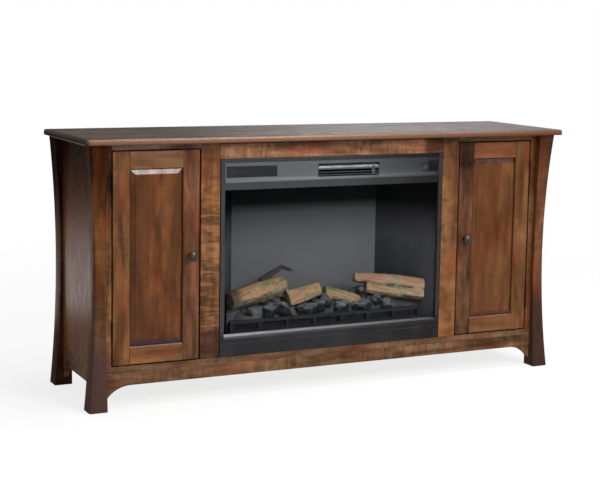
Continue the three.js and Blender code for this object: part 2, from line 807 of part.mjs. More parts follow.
function fascia() {
  const [recessY, chinY] = [fasciaFrontY + fasciaRecessDepth, fasciaFrontY + fasciaChinDepth];
  const ledgeY = fasciaFrontY - fasciaLedgeProud;
  const browZ = insertTopZ - fasciaBrowHeight;
  const chinZ = fasciaBottomZ + fasciaChinHeight;
  const outline = [
    [fasciaBackY, fasciaBottomZ], [fasciaBackY, insertTopZ], [fasciaFrontY, insertTopZ],
    [fasciaFrontY, browZ], [recessY, browZ - fasciaLedgeRound / 4],
    [recessY, browZ - fasciaRecessHeight + fasciaLedgeRound / 4], [fasciaFrontY, browZ - fasciaRecessHeight],
    [fasciaFrontY, chinZ + fasciaLedgeHeight], [ledgeY, chinZ + fasciaLedgeRound],
    [ledgeY + fasciaLedgeRound / 4, chinZ + fasciaLedgeRound / 4], [ledgeY + fasciaLedgeRound, chinZ],
    [chinY, chinZ], [chinY, fasciaBottomZ],
  ];
  const through = [fasciaFrontY - overrun, fasciaBackY + overrun];
  const recess = [fasciaFrontY - overrun, fasciaFrontY + windowDepth];
  const room = [rockerWidth / 2 + rockerClearance, rockerHeight / 2 + 2 * rockerClearance];
  return cut(
    prism('x', outline, -fasciaX, fasciaX),
    block(windowX, windowX + windowWidth, ...recess, windowZ, windowZ + windowHeight),
    block(sensorX, sensorX + sensorWidth, ...recess, windowZ, windowZ + windowHeight),
    block(ventX, ventX + ventWidth, ...through, ventZ, ventZ + ventHeight),
    block(rockerX - room[0], rockerX + room[0], ...through, rockerZ - room[1], rockerZ + room[1]),
  );
}

// A dark gloss plate in its recess in the fascia
function fasciaPlate(x0, x1) {
  const backY = fasciaFrontY + windowDepth - seam;
  const z = [windowZ + seam, windowZ + windowHeight - seam];
  return block(x0 + seam, x1 - seam, backY - windowThickness, backY, ...z);
}

function vent() {
  const ends = [ventX + seam, ventX + ventWidth - seam];
  const topZ = ventZ + ventHeight - deflectorDrop;
  const arc = [];
  for (let i = 0; i <= arcSteps; i += 1) {
    const angle = Math.PI / 2 * i / arcSteps;
    const back = fasciaFrontY + deflectorDepth * (1 - Math.cos(angle));
    arc.push([back, topZ - deflectorHeight * (1 - Math.sin(angle))]);
  }
  const deflector = [...arc, [fasciaFrontY + deflectorDepth, topZ - deflectorHeight]];
  const tabX = ends[1] - ventTabInset;
  const slatZ = ventZ + slatSpacing / 2;
  const cheekY = [fasciaFrontY, fasciaFrontY + slatThickness + slatDepth];
  const cheek = (x) => block(x, x + slatThickness, ...cheekY, ventZ + seam, ventZ + ventHeight - seam);
  const pieces = [prism('x', deflector, ...ends), cheek(ends[0]), cheek(ends[1] - slatThickness)];
  for (let i = 0; i < slatCount; i += 1) {
    const z = slatZ + i * slatSpacing;
    pieces.push(block(...ends, cheekY[0] + slatThickness, cheekY[1], z, z + slatThickness));
  }
  const tabY = [fasciaFrontY, fasciaFrontY + deflectorDepth / 2];
  pieces.push(block(tabX - ventTabWidth, tabX, ...tabY, slatZ, topZ - deflectorHeight / 2));
  return joined(...pieces);
}

function rocker() {
  const half = rockerHeight / 2;
  const front = -rockerDepth / 2 - rockerProud;
  const outline = [
    [front, -half], [front + rockerDip, 0], [front, half], [rockerDepth / 2, half - rockerDip],
    [rockerDepth / 2, -half + rockerDip],
  ];
  const geometry = prism('x', outline, -rockerWidth / 2, rockerWidth / 2);
  geometry.rotateX(rockerTilt);
  return geometry.translate(rockerX, rockerPivotY, rockerZ);
}

function sill() {
  const front = trimFrontY + sillSetback;
  const outline = [
    [trimBackY, sillBottomZ], [trimBackY, sillTopZ], [front + sillSlopeDepth, sillTopZ],
    [front, sillBottomZ + sillFaceHeight], [front, sillBottomZ],
  ];
  return prism('x', outline, -fasciaX, fasciaX);
}

// Half width of the firebox at a depth behind its front, inside its sheet walls
function fireboxHalfWidth(y) {
  return trimInnerX - fireboxSplay * (y - caseFrontY) / fireboxDepth;
}

// Plan of the firebox between its walls, grown by a thickness and reaching past its front and back
function fireboxPlan(grow, reach = 0) {
  const [front, back] = [caseFrontY - reach, fireboxBackY + reach];
  const [frontX, backX] = [fireboxHalfWidth(front) + grow, fireboxHalfWidth(back) + grow];
  return [[-frontX, front], [frontX, front], [backX, back], [-backX, back]];
}

function fireboxDuct() {
  const z = [fireboxFloorZ - sheetThickness, fireboxCeilingZ + sheetThickness];
  const hollow = prism('z', fireboxPlan(0, overrun), fireboxFloorZ, fireboxCeilingZ);
  return cut(prism('z', fireboxPlan(sheetThickness), ...z), hollow);
}

function fireboxRoom() {
  return prism('z', fireboxPlan(-logWallGap), fireboxFloorZ + seam, fireboxCeilingZ - seam);
}

function insertCase() {
  const caseTopZ = insertTopZ - seam;
  const shell = block(-caseX, caseX, caseFrontY, caseBackY, caseBottomZ, caseTopZ);
  const [x, z0, z1] = [caseX - sheetThickness, caseBottomZ + sheetThickness, caseTopZ - sheetThickness];
  const hollow = cut(shell, block(-x, x, caseFrontY - overrun, caseBackY - sheetThickness, z0, z1));
  return joined(hollow, flickerBracket(-flickerX - flickerBracketThickness), flickerBracket(flickerX));
}

const grateX = fasciaX - grateInset;
const grateY = caseFrontY + grateSetback;
const grateZ = fireboxFloorZ + seam;

// Bars on the firebox floor that hold the grate upright and run back under the embers
function grateLegBars(grow = 0) {
  const bars = [];
  for (let i = 0; i < grateLegs; i += 1) {
    const x = grateX * ((2 * i + 1) / grateLegs - 1);
    const half = gratePostWidth / 2 + grow;
    const y = [grateY, grateY + grateLegLength + grow];
    bars.push(block(x - half, x + half, ...y, grateZ - grow, grateZ + gratePostWidth + grow));
  }
  return bars;
}

function grate() {
  const spacing = (2 * grateX - gratePostWidth) / (gratePosts - 1);
  const through = [grateY - overrun, grateY + grateDepth + overrun];
  const slotZ = [grateZ + grateLowerBar, grateZ + grateHeight - grateUpperBar];
  const slots = [];
  for (let i = 0; i < gratePosts - 1; i += 1) {
    const x = -grateX + i * spacing;
    slots.push(block(x + gratePostWidth, x + spacing, ...through, ...slotZ));
  }
  const bar = block(-grateX, grateX, grateY, grateY + grateDepth, grateZ, grateZ + grateHeight);
  return joined(cut(bar, ...slots), ...grateLegBars());
}

const emberFrontY = grateY + grateDepth + emberFrontGap;

// Lumpy coals: a height field over the firebox floor, highest behind the grate
function emberHeightAt(x, y) {
  const rise = Math.min(1, (y - emberFrontY) / emberRise);
  const base = emberFrontHeight + (emberHeight - emberFrontHeight) * Math.sin(rise * Math.PI / 2);
  const [u, v] = [x / emberSpacing, y / emberSpacing];
  const [wave, bend] = [emberWaveShares, emberBendShares];
  const lumpX = Math.sin(wave[0] * u + bend[0] * Math.sin(wave[1] * v));
  const lump = lumpX * Math.cos(wave[2] * v + bend[1] * Math.sin(wave[3] * u));
  return base + emberLump * lump;
}

function emberBed() {
  const z0 = fireboxFloorZ + seam;
  const backY = screenFrontY - emberBackGap;
  const rows = [];
  for (let j = 0; j <= emberBack; j += 1) {
    const y = emberFrontY + (backY - emberFrontY) * j / emberBack;
    const halfX = fireboxHalfWidth(y) - emberSideGap;
    const row = [];
    for (let i = 0; i <= emberAcross; i += 1) {
      const x = halfX * (2 * i / emberAcross - 1);
      row.push([x, y, z0 + emberHeightAt(x, y)]);
    }
    rows.push(row);
  }
  return mound(rows, z0);
}

// A split log: an uneven section that swells in the middle, with flat sawn ends
function log({ start, end, radii, bulge, phase }, grow = 0) {
  const base = new THREE.Vector3(0, caseFrontY, fireboxFloorZ);
  const reach = new THREE.Vector3(fasciaX, fireboxDepth, emberHeight);
  const from = new THREE.Vector3(...start).multiply(reach).add(base);
  const to = new THREE.Vector3(...end).multiply(reach).add(base);
  const along = to.clone().sub(from).normalize();
  const side = new THREE.Vector3(0, 0, 1).cross(along).normalize();
  const up = along.clone().cross(side);
  const rings = [];
  for (let k = 0; k <= logRings; k += 1) {
    const t = k / logRings;
    const centre = from.clone().lerp(to, t).addScaledVector(along, grow * (2 * t - 1));
    const share = radii[0] + (radii[1] - radii[0]) * t + bulge * Math.sin(Math.PI * t);
    const size = logRadius * share + grow;
    const ring = [];
    for (let i = 0; i < logSides; i += 1) {
      const angle = 2 * Math.PI * i / logSides;
      const ridges = logRidgeShare * Math.sin(3 * angle + phase);
      const twist = logTwistShare * Math.sin(2 * angle + logTwist * t + 2 * phase);
      const waver = ridges + twist;
      const radius = size * (1 + waver);
      const point = centre.clone().addScaledVector(side, radius * Math.cos(angle));
      point.addScaledVector(up, radius * Math.sin(angle));
      ring.push(point.toArray());
    }
    rings.push(ring);
  }
  return loft(rings);
}

function addInsert() {
  add('insert_case', insertCase(), blackSteel);
  add('insert_trim', insertTrim(), blackSteel);
  add('control_fascia', fascia(), fasciaGrey);
  add('display_window', fasciaPlate(windowX, windowX + windowWidth), glossBlack);
  add('receiver_window', fasciaPlate(sensorX, sensorX + sensorWidth), glossBlack);
  add('vent_louvre', vent(), steel);
  add('power_rocker', rocker(), glossBlack);
  add('sill_trim', sill(), steel);
  const glassDepth = [glassFrontY, glassFrontY + glassThickness];
  add('glass_pane', block(-fasciaX, fasciaX, ...glassDepth, glassBottomZ, glassTopZ), glass);
  add('firebox_walls', fireboxDuct(), blackSteel);
  const screenX = fireboxHalfWidth(screenFrontY + screenThickness) - seam;
  const screenZ = [fireboxFloorZ + seam, fireboxCeilingZ - seam];
  const screenY = [screenFrontY, screenFrontY + screenThickness];
  add('flame_screen', block(-screenX, screenX, ...screenY, ...screenZ), screenGrey);
  add('grate', grate(), castIron);
  const pockets = [];
  for (const [name, shapes] of Object.entries(logShares)) {
    const moulding = solid(joined(...shapes.map((shape) => log(shape)))).intersect(solid(fireboxRoom()));
    add(name, cut(surface(moulding), ...pockets), bark);
    pockets.push(...shapes.map((shape) => log(shape, logPocket)));
  }
  add('ember_bed', cut(emberBed(), ...pockets, ...grateLegBars(seam)), ash);
}

const blowerY = fasciaBackY + blowerSetback;
const housingTopZ = insertTopZ - 2 * seam - sheetThickness;
const housingBottomZ = fireboxCeilingZ + sheetThickness + seam;
const blowerZ = (housingTopZ + housingBottomZ) / 2;
const blowerEnds = [ventX, ventX + ventWidth];

function blowerWheel() {
  const [x0, x1] = [blowerEnds[0] + housingRoom, blowerEnds[1] - housingRoom];
  const shaftEnds = [blowerEnds[0] - housingThickness, blowerEnds[1] + housingThickness];
  const outline = (radius) => circle(blowerY, blowerZ, radius, 2 * smallSides);
  const parts = [
    prism('x', outline(blowerRadius), x0, x0 + blowerDiscThickness),
    prism('x', outline(blowerRadius), x1 - blowerDiscThickness, x1),
    prism('x', outline(blowerShaftRadius), ...shaftEnds),
  ];
  const inner = blowerRadius - blowerBladeDepth;
  for (let i = 0; i < blowerBlades; i += 1) {
    const half = blowerDiscThickness / 2;
    const blade = block(x0, x1, -half, half, inner, blowerRadius - seam);
    blade.rotateX(2 * Math.PI * i / blowerBlades);
    parts.push(blade.translate(0, blowerY, blowerZ));
  }
  return joined(...parts);
}

function blowerHousing() {
  const [x0, x1] = blowerEnds;
  const frontY = caseFrontY + seam;
  const backY = blowerY + blowerRadius + housingRoom;
  const wall = housingThickness;
  const shell = block(x0 - wall, x1 + wall, frontY, backY + wall, housingBottomZ, housingTopZ);
  const room = block(x0, x1, frontY - overrun, backY, housingBottomZ + wall, housingTopZ - wall);
  const holeOutline = circle(blowerY, blowerZ, blowerShaftRadius + shaftClearance, 2 * smallSides);
  const hole = prism('x', holeOutline, x0 - overrun, x1 + overrun);
  return cut(shell, room, hole);
}

const flickerY = screenFrontY + flickerRodSetback;
const flickerZ = caseBottomZ + sheetThickness + flickerRodHeight;
const flickerX = caseX - sheetThickness - flickerRodInset;
const flickerHole = circle(flickerY, flickerZ, flickerRodRadius + shaftClearance, smallSides);

function flickerBracket(x) {
  const half = flickerBracketWidth / 2;
  const outline = rectangle(flickerY - half, flickerY + half, caseBottomZ + seam, flickerZ + half);
  const plate = prism('x', outline, x, x + flickerBracketThickness);
  return cut(plate, prism('x', flickerHole, x - overrun, x + overrun));
}

function flickerRod() {
  const left = -flickerX - 2 * flickerBracketThickness;
  const right = flickerX + flickerBracketThickness + flickerRodGrip;
  const parts = [prism('x', circle(flickerY, flickerZ, flickerRodRadius, smallSides), left, right)];
  const spacing = 2 * flickerX / (flickerBlades + 1);
  const bladeSize = [flickerBladeWidth, flickerBladeThickness, flickerBladeHeight];
  const [x, y, z] = bladeSize.map((size) => size / 2);
  for (let i = 1; i <= flickerBlades; i += 1) {
    const blade = block(-x, x, -y, y, -z, z);
    blade.rotateX(i * flickerTurn);
    parts.push(blade.translate(-flickerX + i * spacing, flickerY, flickerZ));
  }
  return joined(...parts);
}

function flickerMotor() {
  const x = flickerX + flickerBracketThickness + seam;
  const outline = circle(flickerY, flickerZ, flickerMotorRadius, 2 * smallSides);
  const body = prism('x', outline, x, x + flickerMotorLength);
  return cut(body, prism('x', flickerHole, x - overrun, x + flickerRodGrip + seam));
}

function addWorks() {
  add('blower_wheel', blowerWheel(), steel);
  add('blower_housing', blowerHousing(), blackSteel);
  add('flicker_rod', flickerRod(), steel);
  add('flicker_motor', flickerMotor(), blackSteel);
}

addCarcass();
addInterior();
addDoors();
addInsert();
addWorks();

export default stand;
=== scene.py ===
"""Fireplace TV stand: finishes and fine shapes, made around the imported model, and a studio round it."""

import json
import math
import random

import bpy
from mathutils import Matrix, Vector

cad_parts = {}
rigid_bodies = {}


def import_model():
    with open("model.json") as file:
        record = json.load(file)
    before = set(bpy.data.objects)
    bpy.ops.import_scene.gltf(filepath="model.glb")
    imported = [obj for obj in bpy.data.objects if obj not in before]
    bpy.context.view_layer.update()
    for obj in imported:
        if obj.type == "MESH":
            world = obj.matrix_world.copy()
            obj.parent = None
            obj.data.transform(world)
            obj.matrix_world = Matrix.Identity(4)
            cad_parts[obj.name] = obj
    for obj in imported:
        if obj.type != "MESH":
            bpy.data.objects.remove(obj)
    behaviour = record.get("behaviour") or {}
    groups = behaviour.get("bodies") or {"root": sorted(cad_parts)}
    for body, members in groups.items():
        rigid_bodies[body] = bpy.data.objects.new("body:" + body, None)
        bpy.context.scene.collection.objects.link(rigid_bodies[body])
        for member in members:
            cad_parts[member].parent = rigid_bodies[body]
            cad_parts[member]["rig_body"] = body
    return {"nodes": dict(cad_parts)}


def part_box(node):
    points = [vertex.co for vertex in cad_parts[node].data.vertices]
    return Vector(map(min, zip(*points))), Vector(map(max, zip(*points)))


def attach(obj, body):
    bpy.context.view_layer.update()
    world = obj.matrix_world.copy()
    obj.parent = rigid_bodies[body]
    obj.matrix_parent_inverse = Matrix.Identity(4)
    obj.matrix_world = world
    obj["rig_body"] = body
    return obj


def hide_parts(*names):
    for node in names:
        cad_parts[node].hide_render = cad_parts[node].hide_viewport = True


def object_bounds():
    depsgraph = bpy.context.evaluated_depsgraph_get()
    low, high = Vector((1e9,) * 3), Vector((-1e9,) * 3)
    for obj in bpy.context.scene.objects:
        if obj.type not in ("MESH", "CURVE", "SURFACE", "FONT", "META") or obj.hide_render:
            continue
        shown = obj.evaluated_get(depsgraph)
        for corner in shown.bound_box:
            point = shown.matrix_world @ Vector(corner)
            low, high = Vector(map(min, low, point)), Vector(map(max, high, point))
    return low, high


bl_info = {
    "name": "Fireplace TV Stand",
    "version": (1, 0, 0),
    "blender": (4, 5, 0),
    "location": "View3D > Sidebar > TV Stand",
    "description": "Builds the finishes and fine shapes of a wooden TV stand with an electric fireplace",
    "category": "Object",
}

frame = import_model()
CAD_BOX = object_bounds()
NODES = frame["nodes"]
MM = 0.001

# Boxes that several functions need
GLASS_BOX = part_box("glass_pane")
EMBER_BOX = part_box("ember_bed")

SIDES = ("left", "right")
COPY_MERGE = 0.002 * MM
FLAT_ANGLE = math.radians(0.2)
CREASE_ANGLE = math.radians(38)
# Folds that get an eased edge: on boards and sheet metal, and on the flat bevels of a raised panel
SHARP_FOLD = math.radians(40)
PANEL_FOLD = math.radians(12)


# Settings


class STAND_PG_stage(bpy.types.PropertyGroup):
    """The studio: camera, lamps and floor"""

    camera_place: bpy.props.FloatVectorProperty(
        name="Camera place", description="Where the camera stands", subtype="TRANSLATION", unit="LENGTH",
        default=(-2.239, -4.535, 1.265))
    camera_turn: bpy.props.FloatVectorProperty(
        name="Camera turn", description="Yaw to the right, pitch above the horizon and roll",
        subtype="EULER", unit="ROTATION", default=[math.radians(angle) for angle in (25.82, -6.67, 0.93)])
    lens: bpy.props.FloatProperty(
        name="Lens", description="Focal length on a 36 mm sensor", subtype="DISTANCE_CAMERA", default=85.0)
    key_power: bpy.props.FloatProperty(
        name="Key power", description="Power of the soft box at the front right", subtype="POWER",
        default=115.0)
    key_place: bpy.props.FloatVectorProperty(
        name="Key place", description="Where the soft box hangs", subtype="TRANSLATION", unit="LENGTH",
        default=(0.75, -3.4, 2.6))
    key_size: bpy.props.FloatProperty(
        name="Key size", description="Edge length of the soft box", unit="LENGTH", default=1.6)
    strip_power: bpy.props.FloatProperty(
        name="Strip power", description="Power of the strip light over the front edge", subtype="POWER",
        default=60.0)
    strip_place: bpy.props.FloatVectorProperty(
        name="Strip place", description="Where the strip light hangs", subtype="TRANSLATION", unit="LENGTH",
        default=(1.0, -0.4, 3.0))
    strip_size: bpy.props.FloatVectorProperty(
        name="Strip size", description="Length and width of the strip light", size=2, unit="LENGTH",
        default=(3.2, 1.6))
    backdrop: bpy.props.FloatVectorProperty(
        name="Backdrop", description="Colour of the backdrop and of the lit floor", subtype="COLOR",
        default=(1.0, 1.0, 1.0), min=0.0, max=1.0)


class STAND_PG_finish(bpy.types.PropertyGroup):
    """Edges and lacquer"""

    edge_ease: bpy.props.FloatProperty(
        name="Edge ease", description="Sanded rounding of the board edges", unit="LENGTH", default=1.2 * MM)
    sheet_ease: bpy.props.FloatProperty(
        name="Sheet ease", description="Rounding of folded sheet edges", unit="LENGTH", default=0.7 * MM)
    gloss: bpy.props.FloatProperty(
        name="Lacquer roughness", description="Roughness of the satin lacquer", subtype="FACTOR",
        default=0.24)


class STAND_PG_fire(bpy.types.PropertyGroup):
    """The coals"""

    coal_size: bpy.props.FloatProperty(
        name="Coal size", description="Usual radius of a coal", unit="LENGTH", default=22 * MM)
    coal_spacing: bpy.props.FloatProperty(
        name="Coal spacing", description="Distance between two coals", unit="LENGTH", default=38 * MM)


# Working with objects


def deselect_all():
    if bpy.context.object and bpy.context.object.mode != "OBJECT":
        bpy.ops.object.mode_set(mode="OBJECT")
    bpy.ops.object.select_all(action="DESELECT")


def activate(piece, others=()):
    """Selects the piece and the others, and makes the piece the active one"""
    deselect_all()
    for selected in (piece, *others):
        selected.select_set(True)
    bpy.context.view_layer.objects.active = piece


def edit(piece):
    """Opens the piece in edit mode, with all of it selected"""
    activate(piece)
    bpy.ops.object.mode_set(mode="EDIT")
    bpy.ops.mesh.select_all(action="SELECT")


def apply_modifier(piece, kind, **settings):
    activate(piece)
    modifier = piece.modifiers.new(kind.title(), kind)
    for key, value in settings.items():
        setattr(modifier, key, value)
    bpy.ops.object.modifier_apply(modifier=modifier.name)


def new_object(name, data):
    piece = bpy.data.objects.new(name, data)
    bpy.context.scene.collection.objects.link(piece)
    return piece


def cad_copy(node, name, dissolve=True):
    """A merged copy of a CAD node's solid, to be refined"""
    mesh = NODES[node].data.copy()
    mesh.name = name
    mesh.materials.clear()
    piece = new_object(name, mesh)
    activate(piece)
    bpy.ops.mesh.customdata_custom_splitnormals_clear()
    edit(piece)
    bpy.ops.mesh.remove_doubles(threshold=COPY_MERGE)
    if dissolve:
        bpy.ops.mesh.dissolve_limited(angle_limit=FLAT_ANGLE)
    bpy.ops.object.mode_set(mode="OBJECT")
    return piece


def smooth(piece, weighted=True):
    activate(piece)
    bpy.ops.object.shade_smooth_by_angle(angle=CREASE_ANGLE)
    if weighted:
        apply_modifier(piece, "WEIGHTED_NORMAL", keep_sharp=True, weight=100)


def ease_edges(piece, width, fold=SHARP_FOLD):
    """Rounds the edges that turn by more than the fold angle"""
    apply_modifier(
        piece, "BEVEL", width=width, segments=2, limit_method="ANGLE", angle_limit=fold,
        use_clamp_overlap=True)
    smooth(piece)


def bisect(piece, place, normal):
    """Cuts off what lies on the side that the normal points to, and closes the cut"""
    edit(piece)
    bpy.ops.mesh.bisect(plane_co=place, plane_no=normal, use_fill=True, clear_outer=True)
    bpy.ops.object.mode_set(mode="OBJECT")


def mark_points(piece, name, value):
    """Stores a value on each point for the material to read"""
    mesh = piece.data
    attribute = mesh.attributes.new(name, "FLOAT", "POINT")
    attribute.data.foreach_set("value", [value(point) for point in mesh.vertices])


def mark_facing(piece):
    """Stores how far each point faces up"""
    mark_points(piece, "facing", lambda point: point.normal.z)


def weather(piece, voxel, reliefs):
    """Fuses the piece and pushes its skin in and out by cloud patterns of a size and a depth"""
    apply_modifier(piece, "REMESH", mode="VOXEL", voxel_size=voxel, use_smooth_shade=False)
    for size, depth in reliefs:
        texture = bpy.data.textures.new(f"{piece.name} relief", "CLOUDS")
        texture.noise_scale = size
        apply_modifier(
            piece, "DISPLACE", texture=texture, strength=depth, mid_level=0.6, texture_coords="LOCAL")
    activate(piece)
    bpy.ops.object.shade_smooth()
    mark_facing(piece)


def finish_piece(piece, node, material, replaces=True):
    """The piece rides where its node rides, and takes its finish"""
    piece.data.materials.append(material)
    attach(piece, NODES[node]["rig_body"])
    if replaces:
        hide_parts(node)


def set_material(node, material):
    for slot in NODES[node].material_slots:
        slot.material = material


def place_at(axis, box, share):
    """The place at a share of a box along an axis"""
    lo, hi = box
    return lo[axis] + (hi[axis] - lo[axis]) * share


# Building materials


def linear(code):
    """An sRGB hex colour as linear red, green, blue and alpha"""
    channels = [int(code[i:i + 2], 16) / 255 for i in (1, 3, 5)]
    curve = [c / 12.92 if c <= 0.04045 else ((c + 0.055) / 1.055) ** 2.4 for c in channels]
    return (*curve, 1.0)


def new_material(name):
    material = bpy.data.materials.new(name)
    material.use_nodes = True
    material.node_tree.nodes.clear()
    return material


def add_node(mat, kind, inputs=None, **settings):
    """Adds a node to a material or the world; an input is a value, or a socket to link"""
    node = mat.node_tree.nodes.new(kind)
    for key, value in settings.items():
        setattr(node, key, value)
    for key, value in (inputs or {}).items():
        if isinstance(value, bpy.types.NodeSocket):
            mat.node_tree.links.new(value, node.inputs[key])
        else:
            node.inputs[key].default_value = value
    return node


def own_places(mat):
    """The object's own x, y and z"""
    where = add_node(mat, "ShaderNodeTexCoord").outputs["Object"]
    return add_node(mat, "ShaderNodeSeparateXYZ", {"Vector": where}).outputs


def pattern(
        mat, width, detail, roughness, grain=None, length=0.0, distortion=0.0, offset=(0, 0, 0),
        turn=(0, 0, 0)):
    """Noise whose features have that width, and that length along the grain's axis if there is a grain"""
    where = add_node(mat, "ShaderNodeTexCoord").outputs["Object"]
    size = [length if axis == grain else width for axis in "XYZ"]
    mapping = add_node(
        mat, "ShaderNodeMapping", {"Vector": where, "Location": offset, "Rotation": turn, "Scale": size},
        vector_type="TEXTURE")
    node = add_node(mat, "ShaderNodeTexNoise", {
        "Vector": mapping.outputs["Vector"], "Scale": 1.0, "Detail": detail, "Roughness": roughness,
        "Distortion": distortion})
    return node.outputs["Fac"]


def random_offset(seed):
    """Where a board's patterns start, so that no two boards look alike"""
    rng = random.Random(seed)
    return [rng.uniform(-5, 5) for _ in range(3)]


def marked(mat, name):
    """A value that is stored on the piece's points"""
    return add_node(mat, "ShaderNodeAttribute", attribute_name=name).outputs["Fac"]


def ramp(mat, factor, stops):
    """A colour ramp through stops, each a place and a colour"""
    node = add_node(mat, "ShaderNodeValToRGB", {"Fac": factor})
    elements = node.color_ramp.elements
    while len(elements) < len(stops):
        elements.new(0.5)
    for element, (place, tone) in zip(elements, stops):
        element.position = place
        element.color = linear(tone)
    return node.outputs["Color"]


def grey_ramp(mat, factor, low, high, start=0.0, end=1.0):
    """Turns a factor between two places of its range into one that runs from start to end"""
    node = add_node(
        mat, "ShaderNodeMapRange",
        {"Value": factor, "From Min": low, "From Max": high, "To Min": start, "To Max": end}, clamp=True)
    return node.outputs["Result"]


def math_node(mat, operation, a, b=0.0):
    return add_node(mat, "ShaderNodeMath", {0: a, 1: b}, operation=operation).outputs[0]


def blend(mat, factor, a, b, mode="MIX"):
    node = add_node(mat, "ShaderNodeMix", {"Factor": factor, 6: a, 7: b}, data_type="RGBA", blend_type=mode)
    return node.outputs[2]


def tinted(mat, colour, factor, span, tone, most=1.0, mode="MIX"):
    """The colour with a tone that comes in, up to its most, while the factor passes through the span"""
    return blend(mat, grey_ramp(mat, factor, *span, 0.0, most), colour, linear(tone), mode)


def faded(mat, colour, fades, most=1.0):
    """Tones that come in along an axis: its letter, start, end, tone, and mode unless it is MULTIPLY"""
    places = own_places(mat)
    for axis, start, end, tone, *mode in fades:
        colour = tinted(mat, colour, places[axis], (start, end), tone, most, *(mode or ["MULTIPLY"]))
    return colour


def bump(mat, height, depth, strength, **under):
    """Relief; under is the Normal of another one that it lies on"""
    inputs = {"Height": height, "Distance": depth, "Strength": strength, **under}
    return add_node(mat, "ShaderNodeBump", inputs).outputs["Normal"]


def mix_shaders(mat, factor, first, second):
    return add_node(mat, "ShaderNodeMixShader", {"Fac": factor, 1: first.outputs[0], 2: second.outputs[0]})


def surface(mat, **inputs):
    """Adds the shader and the output; names are those of the shader's sockets with underscores"""
    shader = add_node(mat, "ShaderNodeBsdfPrincipled", {k.replace("_", " "): v for k, v in inputs.items()})
    add_node(mat, "ShaderNodeOutputMaterial", {"Surface": shader.outputs["BSDF"]})
    return mat


# Most of a noise's values lie in this span
NOISE_SPAN = (0.3, 0.7)

# Features of soft maple: width, and length along the grain
CLOUDS = (32 * MM, 180 * MM)
BLOTCHES = (24 * MM, 60 * MM)
WARM_PATCHES = (48 * MM, 180 * MM)
STREAKS = (5 * MM, 240 * MM)
CURLS = (70 * MM, 15 * MM)
WIDE_CURLS = {"inner_stile_right": (70 * MM, 40 * MM)}
PORES = (0.9 * MM, 12 * MM)
STAVE_WIDTH = 62 * MM
# Width and tone of the glaze and painted shade in a raised panel's groove
GLAZE_AND_SHADE_WIDTH = 8 * MM
GLAZE_AND_SHADE_TONE = "#2a1a16"
STAIN_GLOW = "#b5552a"
# Painted highlight on the slab's rounded rim and edge, and painted shade on its underside
RIM_HIGHLIGHT_TONE = "#9e785f"
UNDERSIDE_SHADE_TONE = "#5a3a24"
# Orange peel of baked paint
PEEL = 1.6 * MM

# Boards that are glued up from staves, with the axis across them
STAVES = {"top_slab": "Y", "side_panel_left": "Y", "side_panel_right": "Y", "door_panel_left": "X",
          "door_panel_right": "X"}
# Boards of the carcass and doors: dark tone, light tone, direction of the grain, strength of the curl
# The tones carry some painted light, such as the headers' lighter tones against the overhang's shadow
BOARDS = {
    "top_slab": ("#40302a", "#66503f", "X", 0.1),
    "post_front_left": ("#382212", "#6b4527", "Z", 0.15),
    "post_front_right": ("#4c2c1a", "#74492d", "Z", 0.15),
    "post_back_left": ("#2c1a10", "#4c2f1f", "Z", 0.15),
    "post_back_right": ("#4a2f1d", "#6f4a31", "Z", 0.15),
    "side_rail_left": ("#432817", "#785032", "Y", 0.15),
    "side_rail_right": ("#4a2f1d", "#6f4a31", "Y", 0.15),
    "side_panel_left": ("#683c18", "#744722", "Z", 0.0),
    "side_panel_right": ("#553621", "#65432c", "Z", 0.05),
    "front_apron": ("#412814", "#79563a", "X", 0.25),
    "bottom_rail": ("#422e1b", "#72543b", "X", 0.2),
    "outer_stile_left": ("#35190b", "#8a5d34", "Z", 0.15),
    "outer_stile_right": ("#3c230e", "#6b462d", "Z", 0.15),
    "inner_stile_left": ("#53341f", "#895b35", "Z", 0.4),
    "inner_stile_right": ("#4e331d", "#7b5634", "Z", 0.3),
    "door_header_left": ("#483226", "#8b7264", "X", 0.06),
    "door_header_right": ("#403215", "#745535", "X", 0.06),
    "mantel_rail": ("#5a3c25", "#9c6f50", "X", 0.25),
    "door_hinge_stile_left": ("#4c3019", "#835630", "Z", 0.06),
    "door_hinge_stile_right": ("#4b2e16", "#764f2f", "Z", 0.06),
    "door_knob_stile_left": ("#492d1b", "#7b5135", "Z", 0.06),
    "door_knob_stile_right": ("#382112", "#6c452d", "Z", 0.06),
    "door_top_rail_left": ("#553a22", "#845f42", "X", 0.06),
    "door_top_rail_right": ("#58351d", "#814d30", "X", 0.06),
    "door_bottom_rail_left": ("#5e3b21", "#8c5f39", "X", 0.06),
    "door_bottom_rail_right": ("#5a381a", "#7a4f30", "X", 0.06),
    "door_panel_left": ("#492a14", "#734523", "Z", 0.06),
    "door_panel_right": ("#503016", "#794d2b", "Z", 0.06),
}
